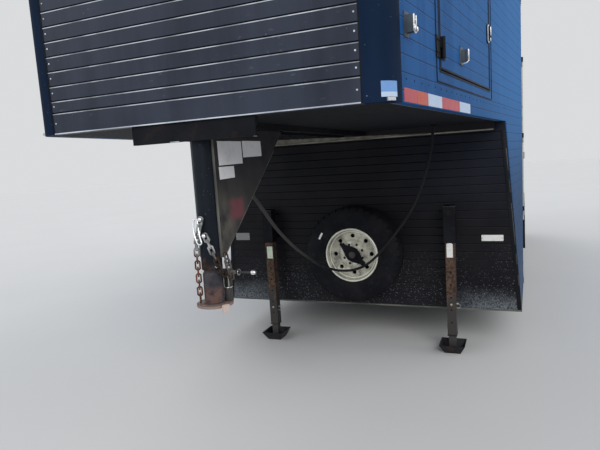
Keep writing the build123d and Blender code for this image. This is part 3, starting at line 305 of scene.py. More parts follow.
def riser_paint():
    """Matt black planks with painted shade and highlights at the seams, and stone dust thrown up along the
    foot, most of it at both ends.
    """
    k = Look("riser_black", 0.55, 0, 0, 0.12)
    seam, lip = k.seams(RISER_SEAM_Z)
    k.base((0.005, 0.0052, 0.0075), (0.011, 0.011, 0.014), 0.35, 0.65, 1.6, 4)
    k.over((0.0075, 0.0115, 0.025), k.ease(k.y, 0.1, 1), k.ease(k.z, 0.9, 1.6), 0.55)
    # Painted shade in the seams, and painted highlight on the lips, stronger higher up.
    k.over((0.0012, 0.0012, 0.0016), seam, 0.75)
    k.over((0.046, 0.043, 0.042), lip, k.blend(k.ease(k.z, 0.8, 1.1), 0.1, 0.24))
    fall = k.math("POWER", k.minus(1, k.ease(k.z, SKIRT_Z, SKIRT_Z + 0.8)), 1.5)
    spots = k.either(k.specks(70, 0.28, 0.3), k.specks(120, 0.34, 0.34), k.specks(34, 0.13, 0.24))
    k.over((0.3, 0.33, 0.37), spots, fall, k.patch(0.3, 0.62, 3.4, 3), 0.75)
    level = k.math("ADD", k.z, k.both(k.noise(5, 4), 0.2))
    film = k.both(k.ease(level, SKIRT_Z + 0.32, SKIRT_Z + 0.1), k.ease(k.math("ABSOLUTE", k.y), 0.62, 1.05),
                  k.patch(0.3, 0.66, 85, 4, 0.7))
    k.over((0.19, 0.215, 0.24), film, 0.85)
    k.over((0.16, 0.165, 0.165), k.ease(k.z, SKIRT_Z + 0.012, SKIRT_Z + 0.004),
           k.patch(0.3, 0.6, 12, 4), 0.7)
    return k.done((k.either(film, spots), 0.5, 0.9), (k.noise(90, 4), 0.0008, 0.4))


def gusset_paint():
    """Grey-black plate paint with painted light, paler in patches low down and towards the front edge, and
    the pale red ghost of a sheet that was stuck on.
    """
    k = Look("gusset_black", 0.5, 0, 0, 0.2)
    k.base((0.0105, 0.0105, 0.013), (0.024, 0.0225, 0.025), 0.35, 0.68, 5, 5)
    x = k.minus(k.x, RISER)
    # Painted light: paler in patches towards the foot, most of it near the front edge.
    k.over((0.135, 0.122, 0.102), k.ease(k.z, 1.56, 1.3), k.patch(0.25, 0.6, 9, 4),
           k.blend(k.ease(x, 2.1, 2.25), 0.35, 1), 0.75)
    k.over((0.165, 0.044, 0.056), k.ease(x, 2.045, 2.085), k.ease(x, 2.215, 2.165), k.ease(k.z, 1.315, 1.345),
           k.ease(k.z, 1.435, 1.4), k.patch(0.05, 0.45, 20, 4), 0.75)
    k.over((0.32, 0.32, 0.31), k.specks(95, 0.14, 0.12), 0.25)
    return k.done((k.noise(9, 4), 0.38, 0.65), (k.noise(60, 4), 0.0008, 0.5))


def header_paint():
    """Beige beam with a painted shadow over its upper part, the shadow's edge slanting lower towards the
    trailer's left.
    """
    k = Look("header_beam", 0.6, 0, 0, 0.25)
    shadow_edge_z = k.minus(NOSE_Z - 0.018, k.both(k.math("ADD", k.y, 0.4), 0.03))
    gap = k.minus(k.math("ADD", k.z, k.both(k.noise(20, 3), 0.01)), shadow_edge_z)
    k.base((0.11, 0.104, 0.084), (0.24, 0.228, 0.188), 0.35, 0.7, 11, 5)
    # Painted shadow: near black above the slanted edge, beige below it.
    k.tone = k.mix(k.ease(gap, 0.008, 0), (0.006, 0.006, 0.0078), k.tone)
    return k.done((k.noise(30, 3), 0.5, 0.75), (k.noise(60, 4), 0.001, 0.4))


def rusty(name, paint, rust, from_z=None, to_z=None, share=0.5, metal=0, spec=0.3):
    """Worn steel: paint or zinc under patches of rust, which grow from one height to the other."""
    k = Look(name, 0.7, metal, 0, spec)
    field = k.noise(17, 6, 0.68)
    if from_z is not None:
        field = k.math("ADD", field, k.both(k.ease(k.z, from_z, to_z), 0.45))
        share -= 0.45
    mask = k.ease(field, 0.5 - share * 0.5 + 0.23, 0.5 - share * 0.5 + 0.36)
    k.tone = k.mix(k.noise(8, 4), paint, dim(paint, 0.55))
    k.over(k.mix(k.patch(0.35, 0.65, 46, 4), rust, dim(rust, 0.42)), mask)
    k.over((0.33, 0.31, 0.28), k.specks(110, 0.18, 0.2), 0.35)
    return k.done((mask, 0.42, 0.92), (k.both(k.noise(120, 5, 0.7), k.blend(mask, 0.25, 1)), 0.0015, 0.7))


def chain_steel():
    """Bright zinc on the upper links, orange rust low on the right run, dark brown on the left one."""
    k = Look("chain_steel", 0.6, 0.3, 0, 0.4)
    mask = k.ease(k.math("ADD", k.z, k.both(k.noise(40, 4, 0.7), 0.1)), 1.285, 1.22)
    right = k.mix(k.patch(0.35, 0.62, 60, 4), (0.17, 0.062, 0.028), (0.06, 0.032, 0.022))
    left = k.mix(k.patch(0.4, 0.6, 60, 4), (0.05, 0.028, 0.02), (0.022, 0.017, 0.016))
    k.base((0.4, 0.41, 0.42), (0.15, 0.15, 0.15), 0.4, 0.65, 50, 5)
    k.over(k.mix(k.ease(k.y, 0, 0.03), right, left), mask)
    return k.done((mask, 0.38, 0.9), (k.noise(180, 5, 0.7), 0.001, 0.6))


def coupler_paint():
    """Worn grey-blue steel with reddish rust in its lower part, and a pale foot flange."""
    k = Look("coupler_steel", 0.6, 0, 0, 0.2)
    k.base((0.022, 0.022, 0.03), (0.056, 0.05, 0.054), 0.35, 0.65, 14, 5)
    rust = k.both(k.patch(0.42, 0.56, 19, 6, 0.7), k.ease(k.z, COUPLER_Z + 0.1, COUPLER_Z + 0.06))
    k.over((0.15, 0.076, 0.06), rust, 0.7)
    k.over((0.26, 0.19, 0.165), k.ease(k.z, COUPLER_Z + 0.016, COUPLER_Z + 0.009),
           k.patch(0.3, 0.5, 24, 5), 0.85)
    return k.done((rust, 0.42, 0.85), (k.noise(120, 5, 0.7), 0.0012, 0.6))


def tyre_rubber():
    k = Look("tyre_rubber", 0.78, 0, 0, 0.08)
    k.base((0.006, 0.0064, 0.009), (0.012, 0.0122, 0.0145), 0.35, 0.7, 7, 4)
    k.over((0.036, 0.035, 0.034), k.patch(0.55, 0.75, 30, 5), 0.35)
    return k.done((k.noise(12, 3), 0.66, 0.9), (k.noise(260, 3), 0.0007, 0.6))


def wheel_paint(name, grime, dark, light):
    """Old cream-silver wheel paint with patches of grime and small rusty chips."""
    k = Look(name, 0.42, 0.15)
    k.base(dark, light, 0.35, 0.65, 6, 4)
    dirt = k.both(k.patch(0.46, 0.7, 15, 6, 0.65), grime)
    k.over((0.085, 0.08, 0.07), dirt)
    k.over((0.13, 0.06, 0.03), k.specks(120, 0.16, 0.14), 0.6)
    return k.done((dirt, 0.38, 0.8), (k.noise(70, 4), 0.0008, 0.35))


def metal(name, tone, rough, dirt):
    k = Look(name, rough, 0.9)
    k.tone = k.mix(k.both(k.patch(0.52, 0.72, 38, 5, 0.65), dirt), tone, dim(tone, 0.25))
    return k.done((k.noise(60, 4), rough, rough + 0.22),
                  (k.noise(180, 3, stretch=(1, 1, 0.15)), 0.0005, 0.35))


def stained(name, tone, dirt):
    """A plate or sheet in one tone, with stains."""
    k = Look(name)
    k.tone = k.mix(k.both(k.patch(0.48, 0.72, 24, 6, 0.65), dirt), tone, dim(tone, 0.45))
    return k.done((k.noise(30, 3), 0.4, 0.65), (k.noise(18, 2), 0.001, 0.25))


def tape(name, tone):
    """Reflective tape: fine cells under a clear face."""
    k = Look(name, 0.45, 0, 0.05, 0.15)
    net = k.ease(k.cells(230, feature="DISTANCE_TO_EDGE")["Distance"], 0.02, 0.07)
    k.tone = k.mix(k.blend(k.noise(14, 4), 0.72, 1), dim(tone, 0.55), k.mix(net, dim(tone, 1.2), tone))
    return k.done((k.noise(20, 3), 0.28, 0.5), (net, 0.0004, 0.5))


def lens(name, tone, low_tone=None):
    """A lens over fine cells, of another tone below the nose door's foot if one is given."""
    k = Look(name, 0.12, 0, 0.6, 0.6)
    net = k.cells(150)["Distance"]
    k.tone = k.mix(net, tone, dim(tone, 0.45))
    if low_tone:
        k.over(k.mix(net, low_tone, dim(low_tone, 0.6)), k.math("LESS_THAN", k.z, DOOR_LOW))
    return k.done((k.noise(30, 3), 0.1, 0.25), (net, 0.001, 0.5))


def deck_board():
    """Plywood boards that run along the trailer, near black underneath as painted shade."""
    k = Look("deck_board", 0.7, spec=0.15)
    grain = k.noise(6, 6, 0.65, stretch=(0.5, 9, 9), distort=0.6)
    gap = k.math("FRACT", k.math("DIVIDE", k.y, BOARD_W))
    line = k.ease(k.math("ABSOLUTE", k.minus(gap, 0.5)), 0.492, 0.498)
    k.tone = k.mix(k.ease(grain, 0.35, 0.7), (0.085, 0.05, 0.026), (0.19, 0.118, 0.062))
    k.over((0.02, 0.014, 0.01), line)
    # Painted shade: the undersides of the deck and the nose floor near black.
    under = k.either(k.both(k.ease(k.z, NOSE_Z + 0.006, NOSE_Z + 0.004), k.ease(k.z, 1.4, 1.5)),
                     k.ease(k.z, DECK_Z - 0.01, DECK_Z - 0.012))
    k.over(k.mix(k.noise(5, 4), (0.0045, 0.0052, 0.0078), (0.0085, 0.009, 0.013)), under)
    return k.done((grain, 0.6, 0.85), (k.minus(grain, line), 0.0015, 0.5))


def roof_white():
    k = Look("roof_white", 0.38, 0, 0.1)
    stain = k.both(k.patch(0.45, 0.7, 2.2, 6, 0.6), 0.3)
    k.tone = k.mix(stain, (0.62, 0.62, 0.61), (0.33, 0.33, 0.31))
    k.over(k.mix(stain, (0.3, 0.29, 0.27), (0.22, 0.21, 0.19)),
           k.math("LESS_THAN", k.z, ROOF_Z - ROOF_T + 0.002))
    return k.done((stain, 0.35, 0.7), (k.noise(1.5, 3), 0.004, 0.3))


M = {
    # Front: painted highlights on the seams' lips, painted shade in the seams, and a painted reflection
    # lightening the upper wall.
    "front": panel_paint(
        "slate_planks", (0.0135, 0.018, 0.0315), (0.03, 0.0375, 0.059), 0.42, 0.2, SEAM_Z, LOW_SEAM_Z,
        lips=0.9, streaks=0.35, shades=[("z", 2, 2.8, 0.45, (0.062, 0.076, 0.106))]),
    # Sides: painted reflection lightens the blue towards the rear, painted shade darkens it towards the foot;
    # the seams carry painted shade and a faint painted highlight.
    "side": panel_paint(
        "navy_planks", (0.012, 0.07, 0.21), (0.022, 0.1, 0.28), 0.52, 0.05, SIDE_SEAM_Z, lips=0.03,
        lines=0.75, dust=0.5, relief=0.5, inside=True,
        shades=[("x", 3.9, 1.2, 0.65, (0.038, 0.176, 0.44)),
                ("z", 2.15, 0.95, 0.74, (0.008, 0.017, 0.04))]),
    "corner": panel_paint("corner_navy", (0.004, 0.0115, 0.03), (0.007, 0.018, 0.045), 0.55, 0.04),
    "riser": riser_paint(),
    "frame": plain_paint("frame_black", (0.0032, 0.0038, 0.0058), (0.0085, 0.009, 0.0115), 0.6, 0.05, 0.1,
                         0.12),
    "gusset": gusset_paint(),
    "trim": plain_paint("trim_black", (0.004, 0.0048, 0.007), (0.0085, 0.0095, 0.0125), 0.5, 0, 0.14, 0.12),
    # Dark rubber for seals and the valve, and the painted shade in the holes of the wheels and legs.
    "rubber": plain_paint("rubber_and_hole_shade", (0.004, 0.0042, 0.005), (0.009, 0.0092, 0.01), 0.75, 0, 0.2, 0.1),
    "hose": panel_paint("cable_sleeve", (0.007, 0.0072, 0.0085), (0.015, 0.015, 0.017), 0.6, 0.12,
                        shades=[("x", 2.4, 3.1, 0.9, (0.045, 0.044, 0.045))]),
    "header": header_paint(),
    "cool_grey": plain_paint("cool_grey_steel", (0.03, 0.042, 0.055), (0.085, 0.105, 0.13), 0.5, spec=0.3),
    "beige": plain_paint("beige_edge", (0.15, 0.142, 0.118), (0.32, 0.305, 0.26), 0.6, spec=0.2),
    "rust": rusty("rusty_steel", (0.017, 0.018, 0.022), (0.06, 0.036, 0.027), share=0.4, spec=0.2),
    "leg": rusty("leg_rust", (0.05, 0.046, 0.044), (0.098, 0.062, 0.046), 0.3, 0.7, 0.8, spec=0.2),
    "inner_leg": rusty("inner_leg", (0.06, 0.06, 0.06), (0.065, 0.042, 0.03), share=0.25, metal=0.2),
    "neck": rusty("neck_steel", (0.0095, 0.014, 0.021), (0.04, 0.027, 0.025), 1.26, 1.12, spec=0.1),
    "coupler": coupler_paint(),
    "latch": rusty("latch_steel", (0.05, 0.047, 0.046), (0.085, 0.052, 0.042), share=0.4),
    "pale_steel": stained("worn_bright_steel", (0.5, 0.4, 0.35), 0.6),
    # Grey for the foot angle and rivets, and the painted highlights along the gusset's and riser trims'
    # edges.
    "edge": plain_paint("edge_paint_and_highlight", (0.058, 0.06, 0.055), (0.135, 0.135, 0.12), 0.5, 0, 0.3, 0.3),
    "zinc": metal("zinc_steel", (0.42, 0.42, 0.4), 0.38, 0.6),
    "chrome": metal("chrome", (0.72, 0.73, 0.75), 0.18, 0.25),
    # Pale bluish grey for bright screws, and the painted highlights on the front wall's foot and the cross
    # channel's lip.
    "bare": plain_paint("bare_metal_and_highlight", (0.3, 0.33, 0.38), (0.62, 0.66, 0.72), 0.42, grit=0.1),
    "chain": chain_steel(),
    "dark_chain": rusty("dark_chain_steel", (0.1, 0.09, 0.085), (0.085, 0.045, 0.028), share=0.6, metal=0.3),
    # A lighter copy of the wheel paint: painted highlight on the spare rim's rolled edges.
    "cream": wheel_paint("wheel_paint_highlight", 0.25, (0.66, 0.65, 0.55), (0.82, 0.81, 0.72)),
    "tyre": tyre_rubber(),
    "wheel": wheel_paint("wheel_silver", 0.8, (0.36, 0.35, 0.28), (0.62, 0.61, 0.52)),
    "white": stained("plate_white", (0.7, 0.7, 0.68), 0.35),
    "sheet": stained("sheet_white", (0.66, 0.655, 0.665), 0.25),
    "grey_plate": stained("plate_grey", (0.2, 0.2, 0.2), 0.4),
    "pale_blue": stained("plate_pale_blue", (0.45, 0.55, 0.7), 0.2),
    "blue": stained("plate_blue", (0.14, 0.29, 0.58), 0.2),
    "pale_green": stained("plate_pale_green", (0.52, 0.6, 0.48), 0.4),
    "red_tape": tape("tape_red", (0.42, 0.07, 0.085)),
    "orange_tape": tape("tape_orange", (0.46, 0.085, 0.055)),
    "white_tape": tape("tape_white", (0.44, 0.54, 0.7)),
    "red_lens": lens("lens_red", (0.42, 0.012, 0.01)),
    "marker": lens("lens_marker", (0.65, 0.22, 0.02), (0.62, 0.64, 0.66)),
    "board": deck_board(),
    "roof": roof_white(),
}

# The finish of every carried-over CAD node
FINISH = {
    "front": "nose_front_wall",
    "corner": "nose_corner_posts",
    "side": "nose_side_left nose_side_right nose_door side_wall_left side_wall_right lower_sides side_door "
            "rear_door_left rear_door_right",
    "riser": "riser_wall",
    "header": "riser_header",
    "frame": "chassis_rails crossmembers axles leaf_springs spring_hangers nose_beams wheel_wells "
             "leg_sleeves cable_clamps spare_carrier",
    "trim": "wheel_flares rear_frame hinge_knuckles nose_door_fittings",
    "cool_grey": "door_holdback",
    "gusset": "neck_gussets",
    "neck": "neck_tube",
    "coupler": "neck_inner coupler",
    "latch": "coupler_latch",
    "leg": "outer_legs",
    "inner_leg": "inner_legs",
    "rust": "leg_feet",
    "chain": "safety_chains",
    "tyre": "spare_tyre tyre_front_left tyre_front_right tyre_rear_left tyre_rear_right",
    "wheel": "spare_rim rim_front_left rim_front_right rim_rear_left rim_rear_right",
    "zinc": "side_door_fittings rear_door_fittings_left rear_door_fittings_right",
    "marker": "marker_lamps",
    "red_lens": "tail_lamps",
    "board": "floor_deck nose_floor",
    "roof": "roof",
}
for look, names in FINISH.items():
    for name in names.split():
        node = NODES[name]
        if not node.material_slots:
            node.data.materials.append(M[look])
        for s in node.material_slots:
            s.material = M[look]


# Pieces

class Piece:
    """Solids gathered in one mesh. Every call places one in the row frame."""

    def __init__(self):
        self.bm = bmesh.new()

    def row(self, points, m=Matrix()):
        return [self.bm.verts.new(m @ Vector(v)) for v in points]

    def bridge(self, a, b):
        """Quads between two closed rows of vertices."""
        for i in range(len(a)):
            j = (i + 1) % len(a)
            self.bm.faces.new((a[i], a[j], b[j], b[i]))

    def box(self, m, size, bevel=0.002):
        made = bmesh.ops.create_cube(self.bm, size=1)["verts"]
        bmesh.ops.transform(self.bm, matrix=m @ Matrix.Diagonal((*size, 1)), verts=made)
        if bevel:
            edges = list({e for v in made for e in v.link_edges})
            bmesh.ops.bevel(self.bm, geom=edges, offset=min(bevel, 0.45 * min(size)), segments=2, profile=0.5,
                            affect="EDGES")
        return self

    def turned(self, m, profile, seg=24):
        """A profile of (radius, height) turned round the frame's z."""
        rings = []
        for r, h in profile:
            turns = [2 * pi * i / seg for i in range(seg if r > 1e-6 else 1)]
            rings.append(self.row([(r * cos(t), r * sin(t), h) for t in turns], m))
        for a, b in zip(rings, rings[1:]):
            for i in range(seg):
                j = (i + 1) % seg
                quad = list(dict.fromkeys((a[i % len(a)], a[j % len(a)], b[j % len(b)], b[i % len(b)])))
                if len(quad) > 2:
                    self.bm.faces.new(quad)
        return self

    def rod(self, a, b, r, seg=16, bevel=0):
        a, b = Vector(a), Vector(b)
        m = facing(a, b - a, (0, 0, 1) if abs((b - a).normalized().z) < 0.9 else (1, 0, 0))
        n, e = (b - a).length, bevel
        ends = [(r - e, 0), (r, e), (r, n - e), (r - e, n)] if e else [(r, 0), (r, n)]
        return self.turned(m, [(0, 0), *ends, (0, n)], seg)

    def sweep(self, path, r, seg=8, closed=False):
        """A round bar along points, all round a ring if closed."""
        path = [Vector(p) for p in path]
        count, rings, last = len(path), [], None
        for i, p in enumerate(path):
            before = path[i - 1] if i or closed else p
            after = path[(i + 1) % count] if i < count - 1 or closed else p
            t = (after - before).normalized()
            if last is None:
                last = t.orthogonal().normalized()
            n = (last - t * last.dot(t)).normalized()
            last, b = n, t.cross(n)
            rings.append(self.row([p + r * (cos(u) * n + sin(u) * b)
                                   for u in (2 * pi * j / seg for j in range(seg))]))
        pairs = list(zip(rings, rings[1:]))
        if closed:
            a, b = rings[-1], rings[0]
            turn = min(range(seg), key=lambda s: sum((v.co - b[(j + s) % seg].co).length
                                                     for j, v in enumerate(a)))
            pairs.append((a, b[turn:] + b[:turn]))
        else:
            self.bm.faces.new(rings[0][::-1])
            self.bm.faces.new(rings[-1])
        for a, b in pairs:
            self.bridge(a, b)
        return self

    def plate(self, m, outline, thick, bevel=0):
        """A flat outline of (x, y) in the frame, thick along its z."""
        low, high = (self.row([(x, y, z) for x, y in outline], m) for z in (0, thick))
        top = self.bm.faces.new(high)
        self.bm.faces.new(low[::-1])
        self.bridge(low, high)
        if bevel:
            bmesh.ops.bevel(self.bm, geom=list(top.edges), offset=bevel, segments=1, affect="EDGES")
        return self

    def strip(self, m, a, b, width, thick, bevel=0.0006, lift=0):
        """A flat bar on a face from a to b, thick outwards."""
        a, b = Vector(a), Vector(b)
        way, mid = b - a, (a + b) / 2
        turn = Matrix.Rotation(atan2(way.y, way.x), 4, "Z")
        return self.box(m @ shift(mid.x, mid.y, lift + thick / 2) @ turn, (way.length, width, thick), bevel)

    def across(self, m, half, y, *sizes, **more):
        """A strip at height y, half to each side."""
        return self.strip(m, (-half, y), (half, y), *sizes, **more)

    def border(self, m, w, h, width, thick, bevel=0.0006):
        """Four strips inside the edges of a rectangle, centred."""
        x, y, d = w / 2, h / 2, width / 2
        for side in (-1, 1):
            self.strip(m, (-x, side * (y - d)), (x, side * (y - d)), width, thick, bevel)
            self.strip(m, (side * (x - d), -y + width), (side * (x - d), y - width), width, thick, bevel)
        return self

    def ring(self, m, r, wire, seg=32, sides=8, stretch=0):
        """A closed round bar, drawn out along y by stretch."""
        turns = [2 * pi * (i + 0.5) / seg for i in range(seg)]
        return self.sweep([m @ Vector((r * cos(t), r * sin(t) + copysign(stretch / 2, sin(t)), 0))
                           for t in turns], wire, sides, closed=True)

    def holed_ring(self, m, inner, outer, middle, hole, low, high, count=8, steps=8):
        """A flat ring with round holes, to be welded to turned parts of count * steps sides."""
        half = pi / count
        corners = ((outer, -half), (outer, half), (inner, half), (inner, -half))
        for i in range(count):
            turn, rows = 2 * pi * i / count, []
            for (r0, b0), (r1, b1) in zip(corners, corners[1:] + corners[:1]):
                for f in (j / steps for j in range(steps)):
                    r, b = r0 + (r1 - r0) * f, b0 + (b1 - b0) * f
                    u = atan2(b * middle, r - middle)
                    x, y = middle + hole * cos(u), hole * sin(u)
                    edge = (r * cos(turn + b), r * sin(turn + b))
                    rim = (x * cos(turn) - y * sin(turn), x * sin(turn) + y * cos(turn))
                    rows.append(self.row([(*v, z) for v in (edge, rim) for z in (high, low)], m))
            for a, b in zip(rows, rows[1:] + rows[:1]):
                for quad in ((a[0], b[0], b[2], a[2]), (a[1], a[3], b[3], b[1]), (a[2], b[2], b[3], a[3])):
                    self.bm.faces.new(quad)
        bmesh.ops.remove_doubles(self.bm, verts=list(self.bm.verts), dist=1e-5)
        return self

    def bolt(self, m, r, h):
        """A hexagon head with a washer."""
        self.turned(m, [(0, 0), (r * 1.45, 0), (r * 1.45, h * 0.2), (r * 1.1, h * 0.2), (0, h * 0.2)], 16)
        return self.turned(m, [(0, h * 0.2), (r, h * 0.2), (r, h * 0.85), (r * 0.8, h), (0, h)], 6)

    def screw(self, m, r=0.004):
        """A low round screw or rivet head."""
        return self.turned(m, [(r, 0), (r, r * 0.25), (r * 0.7, r * 0.55), (0, r * 0.65)], 10)

    def done(self, name, look, body="trailer", angle=35):
        bmesh.ops.recalc_face_normals(self.bm, faces=self.bm.faces)
        mesh = bpy.data.meshes.new(name)
        self.bm.to_mesh(mesh)
        self.bm.free()
        for p in mesh.polygons:
            p.use_smooth = True
        mesh.set_sharp_from_angle(angle=radians(angle))
        mesh.materials.append(M[look])
        obj = add(name, mesh)
        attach(obj, body)
        return obj


def rounded(w, h, r, steps=4):
    """Outline of a rectangle with round corners, centred."""
    out = []
    for cx, cy, start in ((1, 1, 0), (-1, 1, 90), (-1, -1, 180), (1, -1, 270)):
        for i in range(steps + 1):
            t = radians(start + 90 * i / steps)
            out.append((cx * (w / 2 - r) + r * cos(t), cy * (h / 2 - r) + r * sin(t)))
    return out


def hinge_screws(name, body, place, reaches, lows, ups=(0.02, 0.073), r=0.0055):
    """Screw heads on a hinge's plates; place gives the frame on the face at (reach, height)."""
    p = Piece()
    for low in lows:
        for reach in reaches:
            for up in ups:
                p.screw(place(reach, low + up), r)
    p.done(name, "frame", body)


# Cable: the route's points, in metres, as the control points of a smooth curve
CABLE_D = 0.02
CABLE = (
    (1.986, 0, 1.506), (1.88, -0.002, 1.432), (1.741, -0.01, 1.334), (1.56, -0.032, 1.212),
    (1.34, -0.062, 1.098), (1.09, -0.095, 0.985), (0.83, -0.125, 0.88), (0.585, -0.15, 0.778),
    (0.385, -0.15, 0.706), (0.29, -0.07, 0.664), (0.27, 0.06, 0.672), (0.272, 0.185, 0.742),
    (0.285, 0.33, 0.9), (0.302, 0.47, 1.075), (0.325, 0.56, 1.222), (0.365, 0.632, 1.4),
    (0.398, 0.686, 1.58), (0.42, 0.708, 1.752),
)
curve = bpy.data.curves.new("cable_line", "CURVE")
curve.dimensions = "3D"
curve.bevel_depth = CABLE_D / 2
curve.bevel_resolution = 4
curve.resolution_u = 10
curve.use_fill_caps = True
spline = curve.splines.new("NURBS")
spline.points.add(len(CABLE) - 1)
for point, place in zip(spline.points, CABLE):
    point.co = (*at(*place), 1)
spline.order_u = 3
spline.use_endpoint_u = True
cable = add("cable_line", curve)
curve.materials.append(M["hose"])
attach(cable, "trailer")
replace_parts(cable, "cable")

# Front wall: screws along both edges, strips beside the corner posts and under the roof, and a strip of
# painted highlight along its foot
WALL_HIGH = ROOF_Z - ROOF_T
mids = [(NOSE_Z + LOW_SEAM_Z) / 2, (LOW_SEAM_Z + SEAM_Z) / 2]
while mids[-1] + PLANK < WALL_HIGH - 0.02:
    mids.append((SEAM_Z if len(mids) == 2 else mids[-1] + PLANK / 2) + PLANK / 2)
p = Piece()
for z in mids:
    for y in (-NOSE_IN + 0.02, NOSE_IN - 0.02):
        p.screw(on_riser(y, z, NOSE_LEN - RECESS), 0.0038)
p.done("front_screws", "bare")
front = on_riser(0, 0, NOSE_LEN - RECESS)
p = Piece()
for y in (-NOSE_IN + 0.003, NOSE_IN - 0.003):
    p.strip(front, (y, NOSE_Z), (y, WALL_HIGH), 0.006, 0.003)
p.across(front, NOSE_IN - 0.008, WALL_HIGH - 0.011, 0.022, 0.0028).done("front_trim", "trim")
# Pale strip: painted highlight along the wall's foot.
Piece().across(front, NOSE_IN - 0.008, NOSE_Z + 0.003, 0.005, 0.0032).done("front_foot_highlight", "bare")

# Left corner: a blank two-tone plate bent round the post
for name, look, low, high in (("upper", "blue", 0.034, 0.072), ("lower", "pale_blue", 0.017, 0.034)):
    p, rows = Piece(), []
    for i in range(13):
        t = radians(30 + 36 * i / 12)
        rows.append(p.row([at(CORNER_X + r * cos(t), CORNER_Y + r * sin(t), NOSE_Z + z) for r, z in (
            (CORNER_R, low), (CORNER_R + 0.0012, low), (CORNER_R + 0.0012, high), (CORNER_R, high))]))
    for a, b in zip(rows, rows[1:]):
        p.bridge(a, b)
    p.bm.faces.new(rows[0])
    p.bm.faces.new(rows[-1][::-1])
    p.done(f"corner_plate_{name}", look)

# Reflecting tape along the left side's foot, from the nose back
TAPE = ((2.244, 2.092, "red"), (2.09, 1.944, "orange"), (1.942, 1.729, "white"), (1.727, 1.398, "red"),
        (1.396, 1.157, "white"))
for i, (ahead, behind, tone) in enumerate(TAPE):
    w = (ahead - behind) / TAPER_COS
    m = on_taper(ahead, NOSE_Z + 0.0295) @ shift(w / 2, 0, 0)
    Piece().plate(m, rounded(w, 0.051, 0.003, 2), 0.0009).done(f"tape_{i + 1}", f"{tone}_tape")

# Nose walls: screw rows along foot and head
p = Piece()
for sign in (1, -1):
    for z in (NOSE_Z + 0.088, WALL_HIGH - 0.03):
        for i in range(34):
            x = CORNER_X - 0.05 - 0.095 * i
            if sign > 0 and z > 2 or x > -TAPER_END:
                p.screw(on_taper(x, z, sign), 0.0034)
p.done("nose_wall_screws", "trim")

# Trims of the nose door and its opening
DOOR_MID = (DOOR_FRONT + DOOR_REAR) / 2
DOOR_LONG = (DOOR_FRONT - DOOR_REAR) / TAPER_COS
DOOR_TALL = DOOR_HIGH - DOOR_LOW
door = on_taper(DOOR_MID, (DOOR_LOW + DOOR_HIGH) / 2)
Piece().border(door, DOOR_LONG - 0.0246, DOOR_TALL - 0.012, 0.009, 0.002).done(
    "nose_door_edging", "trim", "nose_door_leaf")
Piece().border(door, DOOR_LONG + 0.018, DOOR_TALL + 0.018, 0.008, 0.0025).done("nose_door_frame", "trim")
Piece().border(door, DOOR_LONG + 0.116, DOOR_TALL + 0.11, 0.0055, 0.0035).done(
    "nose_door_outer_frame", "trim")

# Hinge screws of the nose door, on the fixed and on the moving plates
HINGE_FOOT = DOOR_MID + (DOOR_LONG / 2 - 0.0073) * TAPER_COS
for body, part, way in (("trailer", "frame", 1), ("nose_door_leaf", "leaf", -1)):
    hinge_screws(f"nose_hinge_screws_{part}", body,
                 lambda reach, z: on_taper(HINGE_FOOT + way * reach * TAPER_COS, z) @ shift(0, 0, HINGE_T),
                 (0.03, 0.058), (DOOR_LOW + 0.05, DOOR_HIGH - 0.16))

# Latch of the nose door: a bright bow round its body, with a lock
LATCH = on_taper(DOOR_REAR + 0.058, DOOR_LOW + 0.34)
p = Piece()
p.ring(LATCH @ shift(0, 0, 0.0085), 0.0165, 0.0032, stretch=0.072)
p.turned(LATCH @ shift(0, -0.036, 0.018),
         [(0.0105, 0), (0.0105, 0.003), (0.008, 0.006), (0.003, 0.006), (0.003, 0.004), (0, 0.004)], 20)
p.strip(LATCH, (0, -0.012), (0, 0.04), 0.013, 0.007, 0.002, lift=0.018)
p.done("nose_latch_bow", "chrome", "nose_door_leaf")

# Holdback: bright clips on the jaws; the door's post with a bright head
HOLD = on_taper(DOOR_FRONT + 0.455, DOOR_LOW + 0.112)
p = Piece()
for x in (-0.014, 0.014):
    p.strip(HOLD, (x, -0.029), (x, 0.029), 0.0072, 0.0045, 0.001, lift=0.033)
    p.turned(HOLD @ shift(x, -0.02, 0.0375),
             [(0, 0), (0.009, 0), (0.009, 0.003), (0.006, 0.005), (0, 0.005)], 16)
p.ring(HOLD @ shift(0, -0.02, 0.036), 0.015, 0.0028, 24)
p.strip(HOLD, (0, 0.004), (0, 0.034), 0.009, 0.004, 0.001, lift=0.03)
p.done("holdback_clips", "chrome")
POST = on_taper(DOOR_FRONT - 0.395, DOOR_LOW + 0.112)
p = Piece()
for x in (-0.0075, 0.0075):
    p.strip(POST, (x, -0.028), (x, 0.03), 0.005, 0.0035, 0.001, lift=0.038)
p.sweep([POST @ Vector(v) for v in ((-0.0075, -0.026, 0.039), (-0.01, -0.034, 0.036), (-0.013, -0.038, 0.028),
                                    (-0.014, -0.04, 0.016), (-0.014, -0.04, 0.006))], 0.0025)
p.done("holdback_post_head", "chrome", "nose_door_leaf")
p = Piece()
p.plate(POST, rounded(0.047, 0.091, 0.006), 0.0056, 0.0012)
p.strip(POST, (0, -0.0308), (0, 0.0308), 0.0096, 0.0296, 0.001)
p.strip(POST, (0, -0.0308), (0, 0.0308), 0.0232, 0.0088, 0.001, lift=0.0296)
p.done("holdback_post_shell", "cool_grey", "nose_door_leaf")

